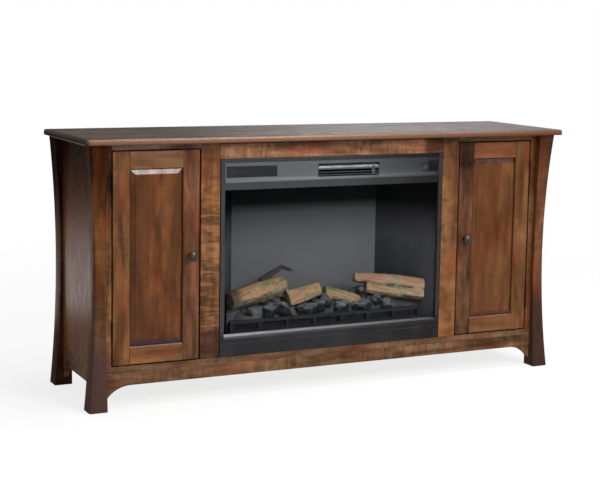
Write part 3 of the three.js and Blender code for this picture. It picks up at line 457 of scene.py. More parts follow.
# Tones fading in along a board, as in faded, with shares of the board for places; most are painted shade
STAIN_AND_SHADE_FADES = {
    # The front posts darken towards the foot, and at the top with painted shade under the overhang
    "post_front_left": [("Z", 0.42, 0.16, "#463431", "MIX"), ("Z", 0.7, 0.88, "#a48c80")],
    "post_front_right": [("Z", 0.37, 0.27, "#34221a", "MIX"), ("Z", 0.66, 0.92, "#b4a498")],
    # Painted shadow of the top along the mantel rail's upper edge; the rail darkens towards its right end
    "mantel_rail": [("X", 0.9, 0.925, "#84706a"), ("Z", 0.82, 0.88, "#806658")],
    # The inner stiles darken towards the foot; the right one is warmer low down, with painted shade at the
    # top
    "inner_stile_left": [("Z", 0.135, 0.12, "#a6a0c8")],
    "inner_stile_right": [("Z", 0.5, 0.36, "#4a2408", "SCREEN"), ("Z", 0.75, 0.95, "#c8b8b0")],
    # Painted shade beside the door gaps
    "door_knob_stile_left": [("X", 0.94, 0.975, "#907c74")],
    "door_hinge_stile_left": [("X", 0.06, 0.025, "#907c74")],
    # Painted shade on the top's left end; the top darkens towards its right end
    "top_slab": [("X", 0.012, 0.004, "#6a6260"), ("X", 0.4, 1.0, "#c4a496")],
    # Painted shade under the overhang, at the top of these boards
    "post_back_left": [("Z", 0.5, 0.8, "#8c7c74")],
    "outer_stile_left": [("Z", 0.72, 0.8, "#8c766a")],
    "side_panel_left": [("Z", 0.55, 0.95, "#4e3a30")],
    "door_knob_stile_right": [("Z", 0.855, 0.885, "#a39a98")],
    # Painted shade on the panels' bottom bevels, and a painted dark band on the right panel's top bevel
    "door_panel_left": [("Z", 0.041, 0.03, "#3c2e36", "MIX")],
    "door_panel_right": [("Z", 0.955, 0.965, "#8c7470"), ("Z", 0.039, 0.03, "#4a342c", "MIX")],
}
# Boards whose pores the lacquer fills, and how deep they still are
FLATTED = ("top_slab", "side_panel_left", "side_panel_right")
FLATTED_PORES = 0.15
# Boards with a duller lacquer, in the shade of the overhang, and their specular level
DULLED = {"post_back_left": 0.05, "post_front_left": 0.08}
CARCASS = [n for n in BOARDS if not n.startswith("door_") or n.startswith("door_header")]
DOOR_BOARDS = [n for n in BOARDS if n not in CARCASS]


def stained_maple(node):
    """Soft maple, planed, stained red-brown, glazed and sprayed with satin lacquer.

    The stain lies unevenly, so long soft clouds, small blotches and faint streaks run with the grain, curly
    figure crosses it in places, wide boards show the staves that they are glued up from, and the lacquer
    gives a smooth sheen that grows at a low angle."""
    dark, light, grain, curl = BOARDS[node]
    fine = FLATTED_PORES if node in FLATTED else 1.0
    soft = 0.5 + 1.7 * fine
    mat = new_material(f"Stained maple {node.replace('_', ' ')}")
    offset = random_offset(sum(ord(c) * (i + 1) for i, c in enumerate(node)))

    def figure(sizes, detail, roughness=0.5, distortion=0.0, offset=offset):
        width, length = sizes
        return pattern(mat, width, detail, roughness, grain, length, distortion, offset)

    clouds = figure(CLOUDS, soft, distortion=0.3)
    blotches = figure(BLOTCHES, soft, distortion=0.3)
    streaks = figure(STREAKS, 2.0)
    curls = figure(WIDE_CURLS.get(node, CURLS), 0.5, 0.4, 1.0)
    pores = figure(PORES, 2.0, 0.6)
    warm = figure(WARM_PATCHES, 2.0, offset=offset[::-1])
    colour = tinted(mat, linear(dark), clouds, (0.32, 0.66), light)
    if node in STAVES:
        tone = math_node(mat, "MULTIPLY", stave_tone(mat, STAVES[node], offset), 0.55)
        colour = blend(mat, tone, colour, linear(dark))
    colour = tinted(mat, colour, blotches, (0.42, 0.76), dark, 0.65)
    colour = tinted(mat, colour, warm, (0.48, 0.68), STAIN_GLOW, 0.4, "OVERLAY")
    colour = tinted(mat, colour, streaks, (0.5, 0.72), dark, 0.18 * fine, "MULTIPLY")
    # The curl comes and goes along a board, and each of its waves has a bright and a dark side
    shown = math_node(mat, "MULTIPLY", grey_ramp(mat, warm, 0.62, 0.4, 0.2), curl)
    ripple = math_node(mat, "MULTIPLY", grey_ramp(mat, curls, 0.5, 0.66), shown)
    trough = math_node(mat, "MULTIPLY", grey_ramp(mat, curls, 0.5, 0.34), shown)
    colour = blend(mat, ripple, colour, linear(light), "SCREEN")
    colour = blend(mat, trough, colour, linear(dark), "MULTIPLY")
    colour = tinted(mat, colour, pores, (0.6, 0.75), dark, 0.3 * fine, "MULTIPLY")
    if node.startswith("door_panel"):
        colour = groove_glaze_and_shade(mat, panel_opening(node), colour)
    # The top's rim and edge take a painted highlight, and its underside painted shade
    if node == "top_slab":
        facing = marked(mat, "facing")
        colour = tinted(mat, colour, facing, (0.95, 0.6), RIM_HIGHLIGHT_TONE, 0.6)
        colour = tinted(mat, colour, facing, (0.12, -0.2), UNDERSIDE_SHADE_TONE, 0.85)
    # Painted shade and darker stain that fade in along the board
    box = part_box(node)
    fades = [
        (axis, *[place_at("XYZ".index(axis), box, share) for share in (start, end)], *tone)
        for axis, start, end, *tone in STAIN_AND_SHADE_FADES.get(node, ())]
    gloss = bpy.context.scene.stand_finish.gloss
    return surface(
        mat, Base_Color=faded(mat, colour, fades, 0.9), Specular_IOR_Level=DULLED.get(node, 0.5),
        Roughness=grey_ramp(mat, blotches, *NOISE_SPAN, gloss - 0.04, gloss + 0.06),
        Normal=bump(mat, pores, 0.1 * MM, 0.02 * fine))


def groove_glaze_and_shade(mat, opening, colour):
    """Dark glaze and painted shade in the groove round a raised panel; the opening is its corners' x and z
    """
    places = own_places(mat)
    outside = 0.0
    for axis, low, high in zip("XZ", *opening):
        away = math_node(mat, "ABSOLUTE", math_node(mat, "SUBTRACT", places[axis], (low + high) / 2))
        beyond = math_node(mat, "SUBTRACT", away, (high - low) / 2 - GLAZE_AND_SHADE_WIDTH)
        outside = math_node(mat, "MAXIMUM", beyond, outside)
    return tinted(mat, colour, outside, (0.0, GLAZE_AND_SHADE_WIDTH), GLAZE_AND_SHADE_TONE, 0.85)


def stave_tone(mat, across, offset):
    """A tone of its own for each stave of a glued-up board, counted along the axis across the grain"""
    stave = math_node(mat, "FLOOR", math_node(mat, "DIVIDE", own_places(mat)[across], STAVE_WIDTH))
    shifted = math_node(mat, "ADD", stave, round(offset[0] * 100))
    return add_node(mat, "ShaderNodeTexWhiteNoise", {"W": shifted}, noise_dimensions="1D").outputs["Value"]


def panel_opening(node):
    """Lowest and highest x and z of the opening in a door's frame"""
    side = node.split("_")[-1]
    stiles = [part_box(f"door_{kind}_stile_{side}") for kind in ("hinge", "knob")]
    rails = [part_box(f"door_{kind}_rail_{side}") for kind in ("bottom", "top")]
    left, right = sorted(stiles, key=lambda box: box[0].x)
    return (left[1].x, rails[0][1].z), (right[0].x, rails[1][0].z)


def plywood(name, light, dark, grain, seed):
    """Birch plywood, sanded and left matt: pale, with wide flat grain and little sheen."""
    mat = new_material(name)
    offset = random_offset(seed)
    waves = pattern(mat, 30 * MM, 4.0, 0.6, grain, 500 * MM, 1.5, offset)
    pores = pattern(mat, PORES[0], 3.0, 0.6, grain, PORES[1], offset=offset)
    base = ramp(mat, waves, [(0.3, dark), (0.7, light)])
    colour = tinted(mat, base, pores, (0.5, 0.75), dark, 0.35, "MULTIPLY")
    return surface(mat, Base_Color=colour, Roughness=0.55, Normal=bump(mat, pores, 0.1 * MM, 0.5))


def powder_coat(name, colour, speckle, roughness, metallic=0.0):
    """Powder-coated sheet steel: an even colour with the fine orange peel of baked powder."""
    mat = new_material(name)
    peel = pattern(mat, PEEL, 2.0, 0.6)
    dust = pattern(mat, 40 * MM, 4.0, 0.6)
    return surface(
        mat, Base_Color=tinted(mat, linear(colour), dust, (0.4, 0.7), speckle, 0.6), Metallic=metallic,
        Roughness=grey_ramp(mat, dust, *NOISE_SPAN, roughness - 0.06, roughness + 0.08),
        Normal=bump(mat, peel, 0.08 * MM, 0.35))


def graded_coat(name, colour, fades, roughness=0.45, metallic=0.0):
    """Satin baked paint on sheet steel, under a film of dust; its tone fades along axes, mostly as painted
    shade.
    """
    mat = new_material(name)
    dust = pattern(mat, 60 * MM, 3.0, 0.6)
    peel = pattern(mat, PEEL, 2.0, 0.6)
    shaded = faded(mat, linear(colour), fades)
    return surface(
        mat, Base_Color=tinted(mat, shaded, dust, (0.45, 0.75), "#808084", 0.05), Metallic=metallic,
        Roughness=grey_ramp(mat, dust, *NOISE_SPAN, roughness - 0.05, roughness + 0.06),
        Normal=bump(mat, peel, 0.05 * MM, 0.3))


def fired_sheet(name, top, low, span):
    """Matt heat-proof black sheet with sooty streaks: painted shade under the hood, paler where light falls
    in.
    """
    mat = new_material(name)
    soot = pattern(mat, 70 * MM, 3.0, 0.6, "Z", 120 * MM)
    grit = pattern(mat, 1.5 * MM, 2.0, 0.5)
    base = tinted(mat, linear(low), own_places(mat)["Z"], span, top)
    return surface(
        mat, Base_Color=tinted(mat, base, soot, (0.4, 0.75), top, 0.2), Roughness=0.65,
        Specular_IOR_Level=0.2, Normal=bump(mat, grit, 0.03 * MM, 0.3))


def galvanised_sheet(name, colour, shade):
    """Zinc-coated sheet: fine lines from rolling stretch its highlights across them."""
    mat = new_material(name)
    lines = pattern(mat, 0.7 * MM, 3.0, 0.7, "X", 90 * MM)
    smudges = pattern(mat, 25 * MM, 3.0, 0.6, "X", 70 * MM)
    return surface(
        mat, Base_Color=tinted(mat, linear(colour), lines, (0.35, 0.7), shade, 0.7), Metallic=1.0,
        Roughness=grey_ramp(mat, smudges, 0.35, 0.7, 0.27, 0.42), Normal=bump(mat, lines, 0.04 * MM, 0.5))


def dark_bronze(name, colour, rubbed, roughness=0.38, fades=()):
    """Oil-rubbed bronze: nearly black, worn to a warm brown where it is touched."""
    mat = new_material(name)
    wear = pattern(mat, 9 * MM, 4.0, 0.65)
    worn = tinted(mat, linear(colour), wear, (0.48, 0.72), rubbed)
    return surface(
        mat, Base_Color=faded(mat, worn, fades), Metallic=0.7,
        Roughness=grey_ramp(mat, wear, *NOISE_SPAN, roughness + 0.1, roughness - 0.08),
        Normal=bump(mat, wear, 0.05 * MM, 0.4))


def gloss_acrylic(name, colour, haze):
    """Acrylic, moulded and polished: a deep mirror-like tone with faint handling marks."""
    mat = new_material(name)
    marks = pattern(mat, 18 * MM, 4.0, 0.6, "X", 60 * MM)
    return surface(
        mat, Base_Color=tinted(mat, linear(colour), marks, (0.45, 0.75), haze, 0.5), IOR=1.49,
        Roughness=grey_ramp(mat, marks, *NOISE_SPAN, 0.08, 0.2), Specular_IOR_Level=0.4)


def frosted_screen(name, top, middle, low):
    """Frosted acrylic flame screen: painted shade makes it dark under the hood, paler where light falls on
    it.
    """
    mat = new_material(name)
    rise = grey_ramp(mat, own_places(mat)["Z"], GLASS_BOX[0].z, GLASS_BOX[1].z)
    mist = pattern(mat, 90 * MM, 3.0, 0.5, "Z", 140 * MM)
    base = ramp(mat, rise, [(0.3, low), (0.76, middle), (0.84, top)])
    colour = tinted(mat, base, mist, (0.3, 0.75), top, 0.1)
    return surface(mat, Base_Color=colour, Roughness=0.6, Specular_IOR_Level=0.2)


def cast_iron(name, colour, rust):
    """Cast iron, blacked: a sandy skin with brown where the heat has burnt the black off."""
    mat = new_material(name)
    sand = pattern(mat, 2.2 * MM, 3.0, 0.7)
    burnt = pattern(mat, 35 * MM, 4.0, 0.6)
    base = tinted(mat, linear(colour), burnt, (0.5, 0.75), rust)
    return surface(mat, Base_Color=base, Roughness=0.72, Normal=bump(mat, sand, 0.4 * MM, 0.7))


def clear_glass(name, tint, haze):
    """Tempered glass, 4 mm: nearly invisible face on, with a soft reflection at low angles."""
    mat = new_material(name)
    film = pattern(mat, 120 * MM, 3.0, 0.5, "Z", 200 * MM)
    clear = add_node(mat, "ShaderNodeBsdfTransparent", {"Color": linear(tint)})
    gloss = add_node(mat, "ShaderNodeBsdfGlossy", {"Color": linear(haze), "Roughness": 0.06})
    edgewise = add_node(mat, "ShaderNodeFresnel", {"IOR": 1.45}).outputs["Fac"]
    share = math_node(mat, "MULTIPLY", edgewise, grey_ramp(mat, film, *NOISE_SPAN, 0.12, 0.2))
    mixed = mix_shaders(mat, share, clear, gloss)
    add_node(mat, "ShaderNodeOutputMaterial", {"Surface": mixed.outputs[0]})
    return mat


def split_wood(name, tan, blush, moss, bark_and_shade, turn):
    """Moulded resin painted as split firewood: soft tan fibres with blushed and mossy patches, dark cracks,
    painted shade underneath, and a dark rind tone where the piece's points are marked."""
    mat = new_material(name)
    patches = pattern(mat, 40 * MM, 2.0, 0.5, "X", 90 * MM, 0.5, turn=turn)
    fibres = pattern(mat, 4 * MM, 3.0, 0.6, "X", 90 * MM, 0.3, turn=turn)
    cracks = pattern(mat, 6 * MM, 2.0, 0.5, "X", 130 * MM, 0.2, turn=turn)
    lumps = pattern(mat, 45 * MM, 2.0, 0.5)
    wood = ramp(mat, patches, [(0.36, moss), (0.47, tan), (0.62, blush)])
    fibred = tinted(mat, wood, fibres, (0.42, 0.7), bark_and_shade, 0.4, "MULTIPLY")
    cracked = tinted(mat, fibred, cracks, (0.62, 0.7), bark_and_shade, 0.8)
    # Painted shade where the log faces down
    under = math_node(mat, "SUBTRACT", marked(mat, "facing"), lumps)
    shaded = tinted(mat, cracked, under, (-0.7, -1.1), bark_and_shade)
    colour = blend(mat, marked(mat, "bark_and_shade"), shaded, linear(bark_and_shade))
    relief = bump(mat, fibres, 1 * MM, 0.6, Normal=bump(mat, cracks, 2 * MM, 0.5))
    return surface(mat, Base_Color=colour, Roughness=0.85, Specular_IOR_Level=0.15, Normal=relief)


def coal(name, black, ash, ember):
    """Moulded coals: charcoal black, dusted with grey ash on top and brown where they are burnt."""
    mat = new_material(name)
    grain = pattern(mat, 5 * MM, 4.0, 0.7)
    lumps = pattern(mat, 34 * MM, 3.0, 0.6)
    dust = math_node(mat, "MULTIPLY", marked(mat, "facing"), lumps)
    burnt = tinted(mat, linear(black), lumps, (0.5, 0.7), ember)
    dusted = tinted(mat, burnt, dust, (0.12, 0.55), ash)
    return surface(
        mat, Base_Color=tinted(mat, dusted, grain, (0.4, 0.7), black, 0.4, "MULTIPLY"),
        Roughness=grey_ramp(mat, lumps, 0.35, 0.6, 0.45, 0.9), Specular_IOR_Level=0.4,
        Normal=bump(mat, grain, 1.5 * MM, 0.8))


# The parts


def finish_board(piece, node):
    finish_piece(piece, node, stained_maple(node))


class STAND_OT_carcass(bpy.types.Operator):
    """Posts, rails, stiles, side panels and the top, with sanded edges and stained maple"""

    bl_idname = "stand.carcass"
    bl_label = "Carcass boards"

    def execute(self, context):
        for node in CARCASS:
            curved = node.startswith("post_") or node == "top_slab"
            piece = cad_copy(node, f"{node}_board", dissolve=not curved)
            if curved:
                smooth(piece, weighted=False)
                mark_facing(piece)
            else:
                ease_edges(piece, context.scene.stand_finish.edge_ease)
            finish_board(piece, node)
        return {"FINISHED"}


class STAND_OT_doors(bpy.types.Operator):
    """Door stiles, rails and raised panels"""

    bl_idname = "stand.doors"
    bl_label = "Doors"

    def execute(self, context):
        fine_ease = context.scene.stand_finish.edge_ease / 2
        for node in DOOR_BOARDS:
            piece = cad_copy(node, f"{node}_board")
            if "hinge_stile" in node:
                outwards = 1 if node.endswith("right") else -1
                edge = self.door_edge(node.split("_")[-1])
                bisect(piece, (edge, 0, 0), (outwards, 0, 0))
                self.make_leaves(node, edge, outwards)
            ease_edges(piece, fine_ease, PANEL_FOLD if node.startswith("door_panel") else SHARP_FOLD)
            finish_board(piece, node)
        return {"FINISHED"}

    def door_edge(self, side):
        """Outer edge of the door, mirrored from the knob stile's edge across the panel"""
        lo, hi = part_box(f"door_panel_{side}")
        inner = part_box(f"door_knob_stile_{side}")[1 if side == "left" else 0].x
        return lo.x + hi.x - inner

    def make_leaves(self, node, edge, outwards):
        """The hinge leaves that are one solid with the stile, cut off at the door's edge"""
        leaves = cad_copy(node, node.replace("door_hinge_stile", "door_hinge_leaves"), dissolve=False)
        bisect(leaves, (edge, 0, 0), (-outwards, 0, 0))
        smooth(leaves, weighted=False)
        finish_piece(leaves, node, hinge_metal(), replaces=False)


def hinge_metal():
    name = "Oil-rubbed bronze hinge"
    return bpy.data.materials.get(name) or dark_bronze(name, "#241f1c", "#4a3a2c")


class STAND_OT_hinges(bpy.types.Operator):
    """The frame's hinge leaves with their knuckles and pins"""

    bl_idname = "stand.hinges"
    bl_label = "Hinges"

    def execute(self, context):
        for place in ("lower", "upper"):
            for side in SIDES:
                node = f"hinge_{place}_{side}"
                piece = cad_copy(node, f"{node}_leaf", dissolve=False)
                smooth(piece, weighted=False)
                finish_piece(piece, node, hinge_metal())
        return {"FINISHED"}


# A mushroom knob's profile from the door outwards: radius and height, in shares of its radius and projection
KNOB_SHARES = [
    (0.58, 0.0), (0.6, 0.03), (0.59, 0.07), (0.5, 0.1), (0.36, 0.14), (0.33, 0.22), (0.34, 0.36),
    (0.42, 0.47), (0.6, 0.55), (0.86, 0.6), (0.97, 0.66), (1.0, 0.73), (0.97, 0.81), (0.86, 0.89),
    (0.66, 0.95), (0.4, 0.985), (0.15, 1.0),
]
KNOB_SIDES = 48
# Between these shares of the depth the head darkens towards the unpolished neck, with painted shade under it
KNOB_SHADE = (0.84, 0.66)


class STAND_OT_knobs(bpy.types.Operator):
    """Turned mushroom knobs"""

    bl_idname = "stand.knobs"
    bl_label = "Door knobs"

    def execute(self, context):
        lo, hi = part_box("door_knob_left")
        front, back = (hi.y - (hi.y - lo.y) * share for share in KNOB_SHADE)
        material = dark_bronze(
            "Oil-rubbed bronze knob", "#57554c", "#6f6a5c", 0.36, [("Y", front, back, "#15110e", "MIX")])
        for side in SIDES:
            node = f"door_knob_{side}"
            finish_piece(self.turn_knob(node), node, material)
        return {"FINISHED"}

    def turn_knob(self, node):
        """The profile, swept round an axis that runs out from the door towards the viewer"""
        lo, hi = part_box(node)
        radius, depth = (hi.x - lo.x) / 2, hi.y - lo.y
        centre = Vector(((lo.x + hi.x) / 2, hi.y, (lo.z + hi.z) / 2))
        deselect_all()
        bpy.ops.mesh.primitive_circle_add(
            vertices=KNOB_SIDES, radius=radius * KNOB_SHARES[0][0], fill_type="NGON", location=centre,
            rotation=(math.pi / 2, 0, 0))
        piece = bpy.context.object
        piece.name = f"{node}_turned"
        bpy.ops.object.transform_apply()
        edit(piece)
        for (before, low), (width, high) in zip(KNOB_SHARES, KNOB_SHARES[1:]):
            scale = width / before
            bpy.ops.mesh.extrude_region_move(TRANSFORM_OT_translate={"value": (0, (low - high) * depth, 0)})
            bpy.ops.transform.resize(value=(scale, 1, scale), center_override=centre)
        bpy.ops.mesh.select_all(action="SELECT")
        bpy.ops.mesh.normals_make_consistent(inside=False)
        bpy.ops.object.mode_set(mode="OBJECT")
        bpy.ops.object.shade_smooth_by_angle(angle=CREASE_ANGLE)
        return piece


class STAND_OT_interior(bpy.types.Operator):
    """Plywood floor, dividers, back and shelves"""

    bl_idname = "stand.interior"
    bl_label = "Interior boards"

    def execute(self, context):
        boards = {
            "cabinet_floor": "X", "divider_left": "Z", "divider_right": "Z", "back_panel": "Z",
            "shelf_left": "X", "shelf_right": "X",
        }
        for seed, (node, grain) in enumerate(boards.items()):
            name = f"Birch plywood {node.replace('_', ' ')}"
            set_material(node, plywood(name, "#a07a52", "#6b4a30", grain, seed))
        return {"FINISHED"}


# Where the trim grows paler above its foot, and the fascia's bands of painted shade: chin below, brow above
TRIM_RISE = (60 * MM, 90 * MM)
CHIN_HEIGHT = 22 * MM
BROW_HEIGHT = 14 * MM
# The display's edges are this many times finer than the sheet metal's
DISPLAY_EASE = 3


class STAND_OT_insert(bpy.types.Operator):
    """Trim, fascia, windows, switch, sill and grate of the fireplace insert"""

    bl_idname = "stand.insert"
    bl_label = "Insert"

    def execute(self, context):
        ease = context.scene.stand_finish.sheet_ease
        low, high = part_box("control_fascia")
        chin, brow = low.z + CHIN_HEIGHT, high.z - BROW_HEIGHT
        pale = [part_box("insert_trim")[0].z + rise for rise in TRIM_RISE]
        # The trim, fascia and sill darken towards the right end: painted shade
        finishes = {
            "insert_trim": ("black_steel", graded_coat("Powder-coated steel trim", "#201f21", [
                ("Z", *pale, "#333136", "MIX"), ("X", 0.0, high.x, "#d4c6b4")])),
            "control_fascia": ("fascia_grey", graded_coat("Metallic grey fascia", "#646569", [
                ("X", 0.0, high.x, "#28282a", "MIX"), ("Z", chin, chin - MM, "#b9b9b8"),
                ("Z", brow, brow + MM, "#b4b4b4")], 0.38, 0.4)),
            "sill_trim": ("bright_steel", graded_coat("Satin aluminium sill", "#7d7c80", [
                ("X", low.x, high.x, "#929294")], 0.38, 0.8)),
            "power_rocker": ("gloss_black", gloss_acrylic("Grey gloss rocker", "#2b2c2e", "#5a5c5d")),
            "display_window": ("gloss_black", gloss_acrylic("Black acrylic display", "#26272b", "#38393e")),
            "receiver_window": (
                "gloss_black", gloss_acrylic("Black acrylic receiver", "#101114", "#2a2c30")),
            "grate": ("grate_iron", cast_iron("Blacked cast iron", "#2a282b", "#38322f")),
        }
        for node, (slot, material) in finishes.items():
            piece = cad_copy(node, f"{node}_piece")
            ease_edges(piece, ease / DISPLAY_EASE if node == "display_window" else ease)
            finish_piece(piece, node, material)
        return {"FINISHED"}


# Share of the vent's height that the deflector takes, from the top
DEFLECTOR_SHARE = 0.46


class STAND_OT_vent(bpy.types.Operator):
    """Bright deflector over the dark slats of the warm-air outlet"""

    bl_idname = "stand.vent"
    bl_label = "Vent"

    def execute(self, context):
        fine_ease = context.scene.stand_finish.sheet_ease / 2
        lo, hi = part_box("vent_louvre")
        split = hi.z - (hi.z - lo.z) * DEFLECTOR_SHARE
        satin = powder_coat("Satin steel deflector", "#74797c", "#5a5e62", 0.34, 0.9)
        black = powder_coat("Dark outlet slats", "#45484b", "#4d5053", 0.45)
        for name, side, slot, material in (
                ("vent_deflector", -1, "bright_steel", satin), ("vent_slats", 1, "black_steel", black)):
            piece = cad_copy("vent_louvre", name)
            bisect(piece, (0, 0, split), (0, 0, side))
            ease_edges(piece, fine_ease)
            finish_piece(piece, "vent_louvre", material)
        return {"FINISHED"}


# The hood's shade deepens on the firebox walls between these shares of the glass's height
HOOD_SHADE = (0.58, 0.84)


class STAND_OT_firebox(bpy.types.Operator):
    """Glass, firebox walls, flame screen and what lies hidden in the insert"""

    bl_idname = "stand.firebox"
    bl_label = "Firebox"

    def execute(self, context):
        shade = [place_at(2, GLASS_BOX, share) for share in HOOD_SHADE]
        black = powder_coat("Matt black sheet", "#232225", "#2e2d30", 0.6)
        zinc = galvanised_sheet("Galvanised sheet", "#8b8f92", "#6c7073")
        finishes = {
            "insert_case": black, "blower_housing": black, "flicker_motor": black,
            "blower_wheel": zinc, "flicker_rod": zinc,
            "firebox_walls": fired_sheet("Heat-proof black sheet", "#060606", "#4c494f", shade),
            "glass_pane": clear_glass("Tempered glass", "#f4f7f7", "#ffffff"),
            "flame_screen": frosted_screen("Frosted flame screen", "#121214", "#565256", "#797679"),
        }
        for node, material in finishes.items():
            set_material(node, material)
        return {"FINISHED"}


# Skins of the logs and of the embers: the fused voxels, then each relief's size and depth
LOG_VOXEL = 3.5 * MM
LOG_RELIEFS = ((16 * MM, 4 * MM), (4 * MM, 1.6 * MM))
EMBER_VOXEL = 4 * MM
EMBER_RELIEFS = ((12 * MM, 3 * MM), (4 * MM, 1.5 * MM))
# Foot, elbow and tip of the left log's thin branch, in shares of the box round its piece
BRANCH_SHARES = ((0.38, 0.6, 0.68), (0.65, 0.9, 0.95), (0.77, 0.95, 0.81))
# Distances from the branch between which its rind ends
BRANCH_REACH = (14 * MM, 20 * MM)
# Strength of the painted shade on the log's outer end, and shares of its length between which it ends
END_SHADE = 0.85
END_SHADE_SHARES = (0.08, 0.15)


class STAND_OT_logs(bpy.types.Operator):
    """Split logs with fibres, cracks and rough ends"""

    bl_idname = "stand.logs"
    bl_label = "Logs"

    def execute(self, context):
        finishes = {
            "logs_left": split_wood(
                "Painted split oak log", "#ab8a6c", "#b88a68", "#8b8262", "#443e3c", (0, -0.3, 0)),
            "log_middle": split_wood(
                "Painted mossy log", "#a48a68", "#b08562", "#84806a", "#40362c", (0, 0.35, 0)),
            "log_right": split_wood(
                "Painted double log", "#b39478", "#b5876c", "#94896f", "#4a3c34", (0, 0.18, -0.3)),
        }
        for node, material in finishes.items():
            piece = cad_copy(node, f"{node}_split", dissolve=False)
            weather(piece, LOG_VOXEL, LOG_RELIEFS)
            if node == "logs_left":
                self.mark_branch(piece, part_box(node))
            finish_piece(piece, node, material)
        return {"FINISHED"}

    def mark_branch(self, piece, box):
        """Dark rind on the branch, and painted shade on the log's outer end"""
        joints = [
            Vector(place_at(axis, box, share) for axis, share in enumerate(shares))
            for shares in BRANCH_SHARES]
        shaded_end = [place_at(0, box, share) for share in END_SHADE_SHARES]

        def bark_and_shade(point):
            away = min(self.distance(point.co, a, b) for a, b in zip(joints, joints[1:]))
            return max(self.fall(away, *BRANCH_REACH), END_SHADE * self.fall(point.co.x, *shaded_end))

        mark_points(piece, "bark_and_shade", bark_and_shade)

    def distance(self, point, start, end):
        """From a point to the stretch between two others"""
        line = end - start
        along = min(1.0, max(0.0, (point - start).dot(line) / line.length_squared))
        return (point - start - line * along).length

    def fall(self, value, low, high):
        """1 up to the low value, then down to 0 at the high one"""
        return min(1.0, max(0.0, (high - value) / (high - low)))


# Coals: how far one strays on its grid, in steps, and the spread of their sizes and of their flatness
COAL_SEED = 5
COAL_STRAY = 0.3
COAL_SPREAD = (0.7, 1.3)
COAL_FLATNESS = (0.7, 1.0)
# How far a coal's middle lies over the bed, in its radii
COAL_LIFT = 0.3
# Room for a coal below a log, in its radii, and how far beside the bed a ray to its edge starts
LOG_ROOM = 1.2
BESIDE = 2.0


class STAND_OT_embers(bpy.types.Operator):
    """Ember bed with loose coals"""

    bl_idname = "stand.embers"
    bl_label = "Embers"

    def execute(self, context):
        bed = cad_copy("ember_bed", "ember_bed_lumps", dissolve=False)
        coals = self.lay_coals(bed, context.scene.stand_fire)
        activate(bed, coals)
        bpy.ops.object.join()
        weather(bed, EMBER_VOXEL, EMBER_RELIEFS)
        charcoal = coal("Moulded charcoal", "#262426", "#868385", "#393230")
        finish_piece(bed, "ember_bed", charcoal)
        return {"FINISHED"}

    def lay_coals(self, bed, fire):
        """Coals over the bed's top, jittered off a grid, and kept clear of the logs over them"""
        rng = random.Random(COAL_SEED)
        step = fire.coal_spacing
        lo, hi = EMBER_BOX
        model = self.model_coal()
        coals = []
        for row in range(int((hi.y - lo.y) / step)):
            for column in range(int((hi.x - lo.x) / step)):
                x = lo.x + (column + 0.5 + rng.uniform(-COAL_STRAY, COAL_STRAY)) * step
                y = lo.y + (row + 0.5 + rng.uniform(-COAL_STRAY, COAL_STRAY)) * step
                radius = fire.coal_size * rng.uniform(*COAL_SPREAD)
                turns = [rng.uniform(0, math.tau) for _ in range(3)]
                squash = rng.uniform(*COAL_FLATNESS)
                hit, place, _, _ = bed.ray_cast((x, y, hi.z + 1), (0, 0, -1))
                if not hit or abs(x) > abs(self.edge_at(bed, y)) - radius or self.log_above(place, radius):
                    continue
                place.z += radius * COAL_LIFT
                piece = new_object("coal", model.data.copy())
                piece.location = place
                piece.rotation_euler = turns
                piece.scale = (radius, radius, radius * squash)
                coals.append(piece)
        activate(coals[0], coals)
        bpy.ops.object.transform_apply()
        bpy.data.objects.remove(model)
        return coals

    def edge_at(self, bed, y):
        """Half width of the bed at a depth"""
        _, place, _, _ = bed.ray_cast((BESIDE, y, EMBER_BOX[0].z + 5 * MM), (-1, 0, 0))
        return place.x

    def log_above(self, place, radius):
        for node in ("logs_left", "log_middle", "log_right"):
            log = bpy.data.objects[f"{node}_split"]
            hit, above, _, _ = log.ray_cast(place - Vector((0, 0, radius)), (0, 0, 1))
            if hit and above.z - place.z < LOG_ROOM * radius:
                return True
        return False

    def model_coal(self):
        """A chipped lump of unit radius"""
        deselect_all()
        bpy.ops.mesh.primitive_ico_sphere_add(subdivisions=2, radius=1, location=(0, 0, 0))
        model = bpy.context.object
        edit(model)
        bpy.ops.transform.vertex_random(offset=0.25, normal=1.0, seed=3)
        bpy.ops.object.mode_set(mode="OBJECT")
        return model


# The sensor in millimetres, and the lens's shift in widths of the picture
SENSOR_WIDTH = 36.0
VERTICAL_SHIFT = -0.1
FLOOR_SIZE = 30.0
ROOM_LEVEL = 0.47
# The floor glows so that shadows dim only the rest of it: distances from the stand, and levels there
FLOOR_GLOW = (1.0, 3.5, 0.78, 1.0)
# What reflections find, each with two places and the levels there; the places are depths on the floor, and
# round the stand the direction's x or y, or distances from the patch's heading
FLOOR_RISE = (1.2, 1.6, 0.15, 1.0)
FLOOR_FALL = (1.9, 4.8, 0.8, 0.02)
BACKDROP = (0.0, 0.6, 0.0, 0.66)
BACKDROP_LEFT = (0.345, 0.465, 0.2, 1.0)
BACKDROP_RIGHT = (0.5, 0.62, 1.0, 0.6)
ROOM = (0.2, 0.6, 0.22, 0.1)
ROOM_DEPTH = (0.1, -0.1, 0.3, 1.0)
PATCH = (0.04, 0.19, 22.0, 0.0)
PATCH_HEADING = (0.3, -0.84, 0.45)


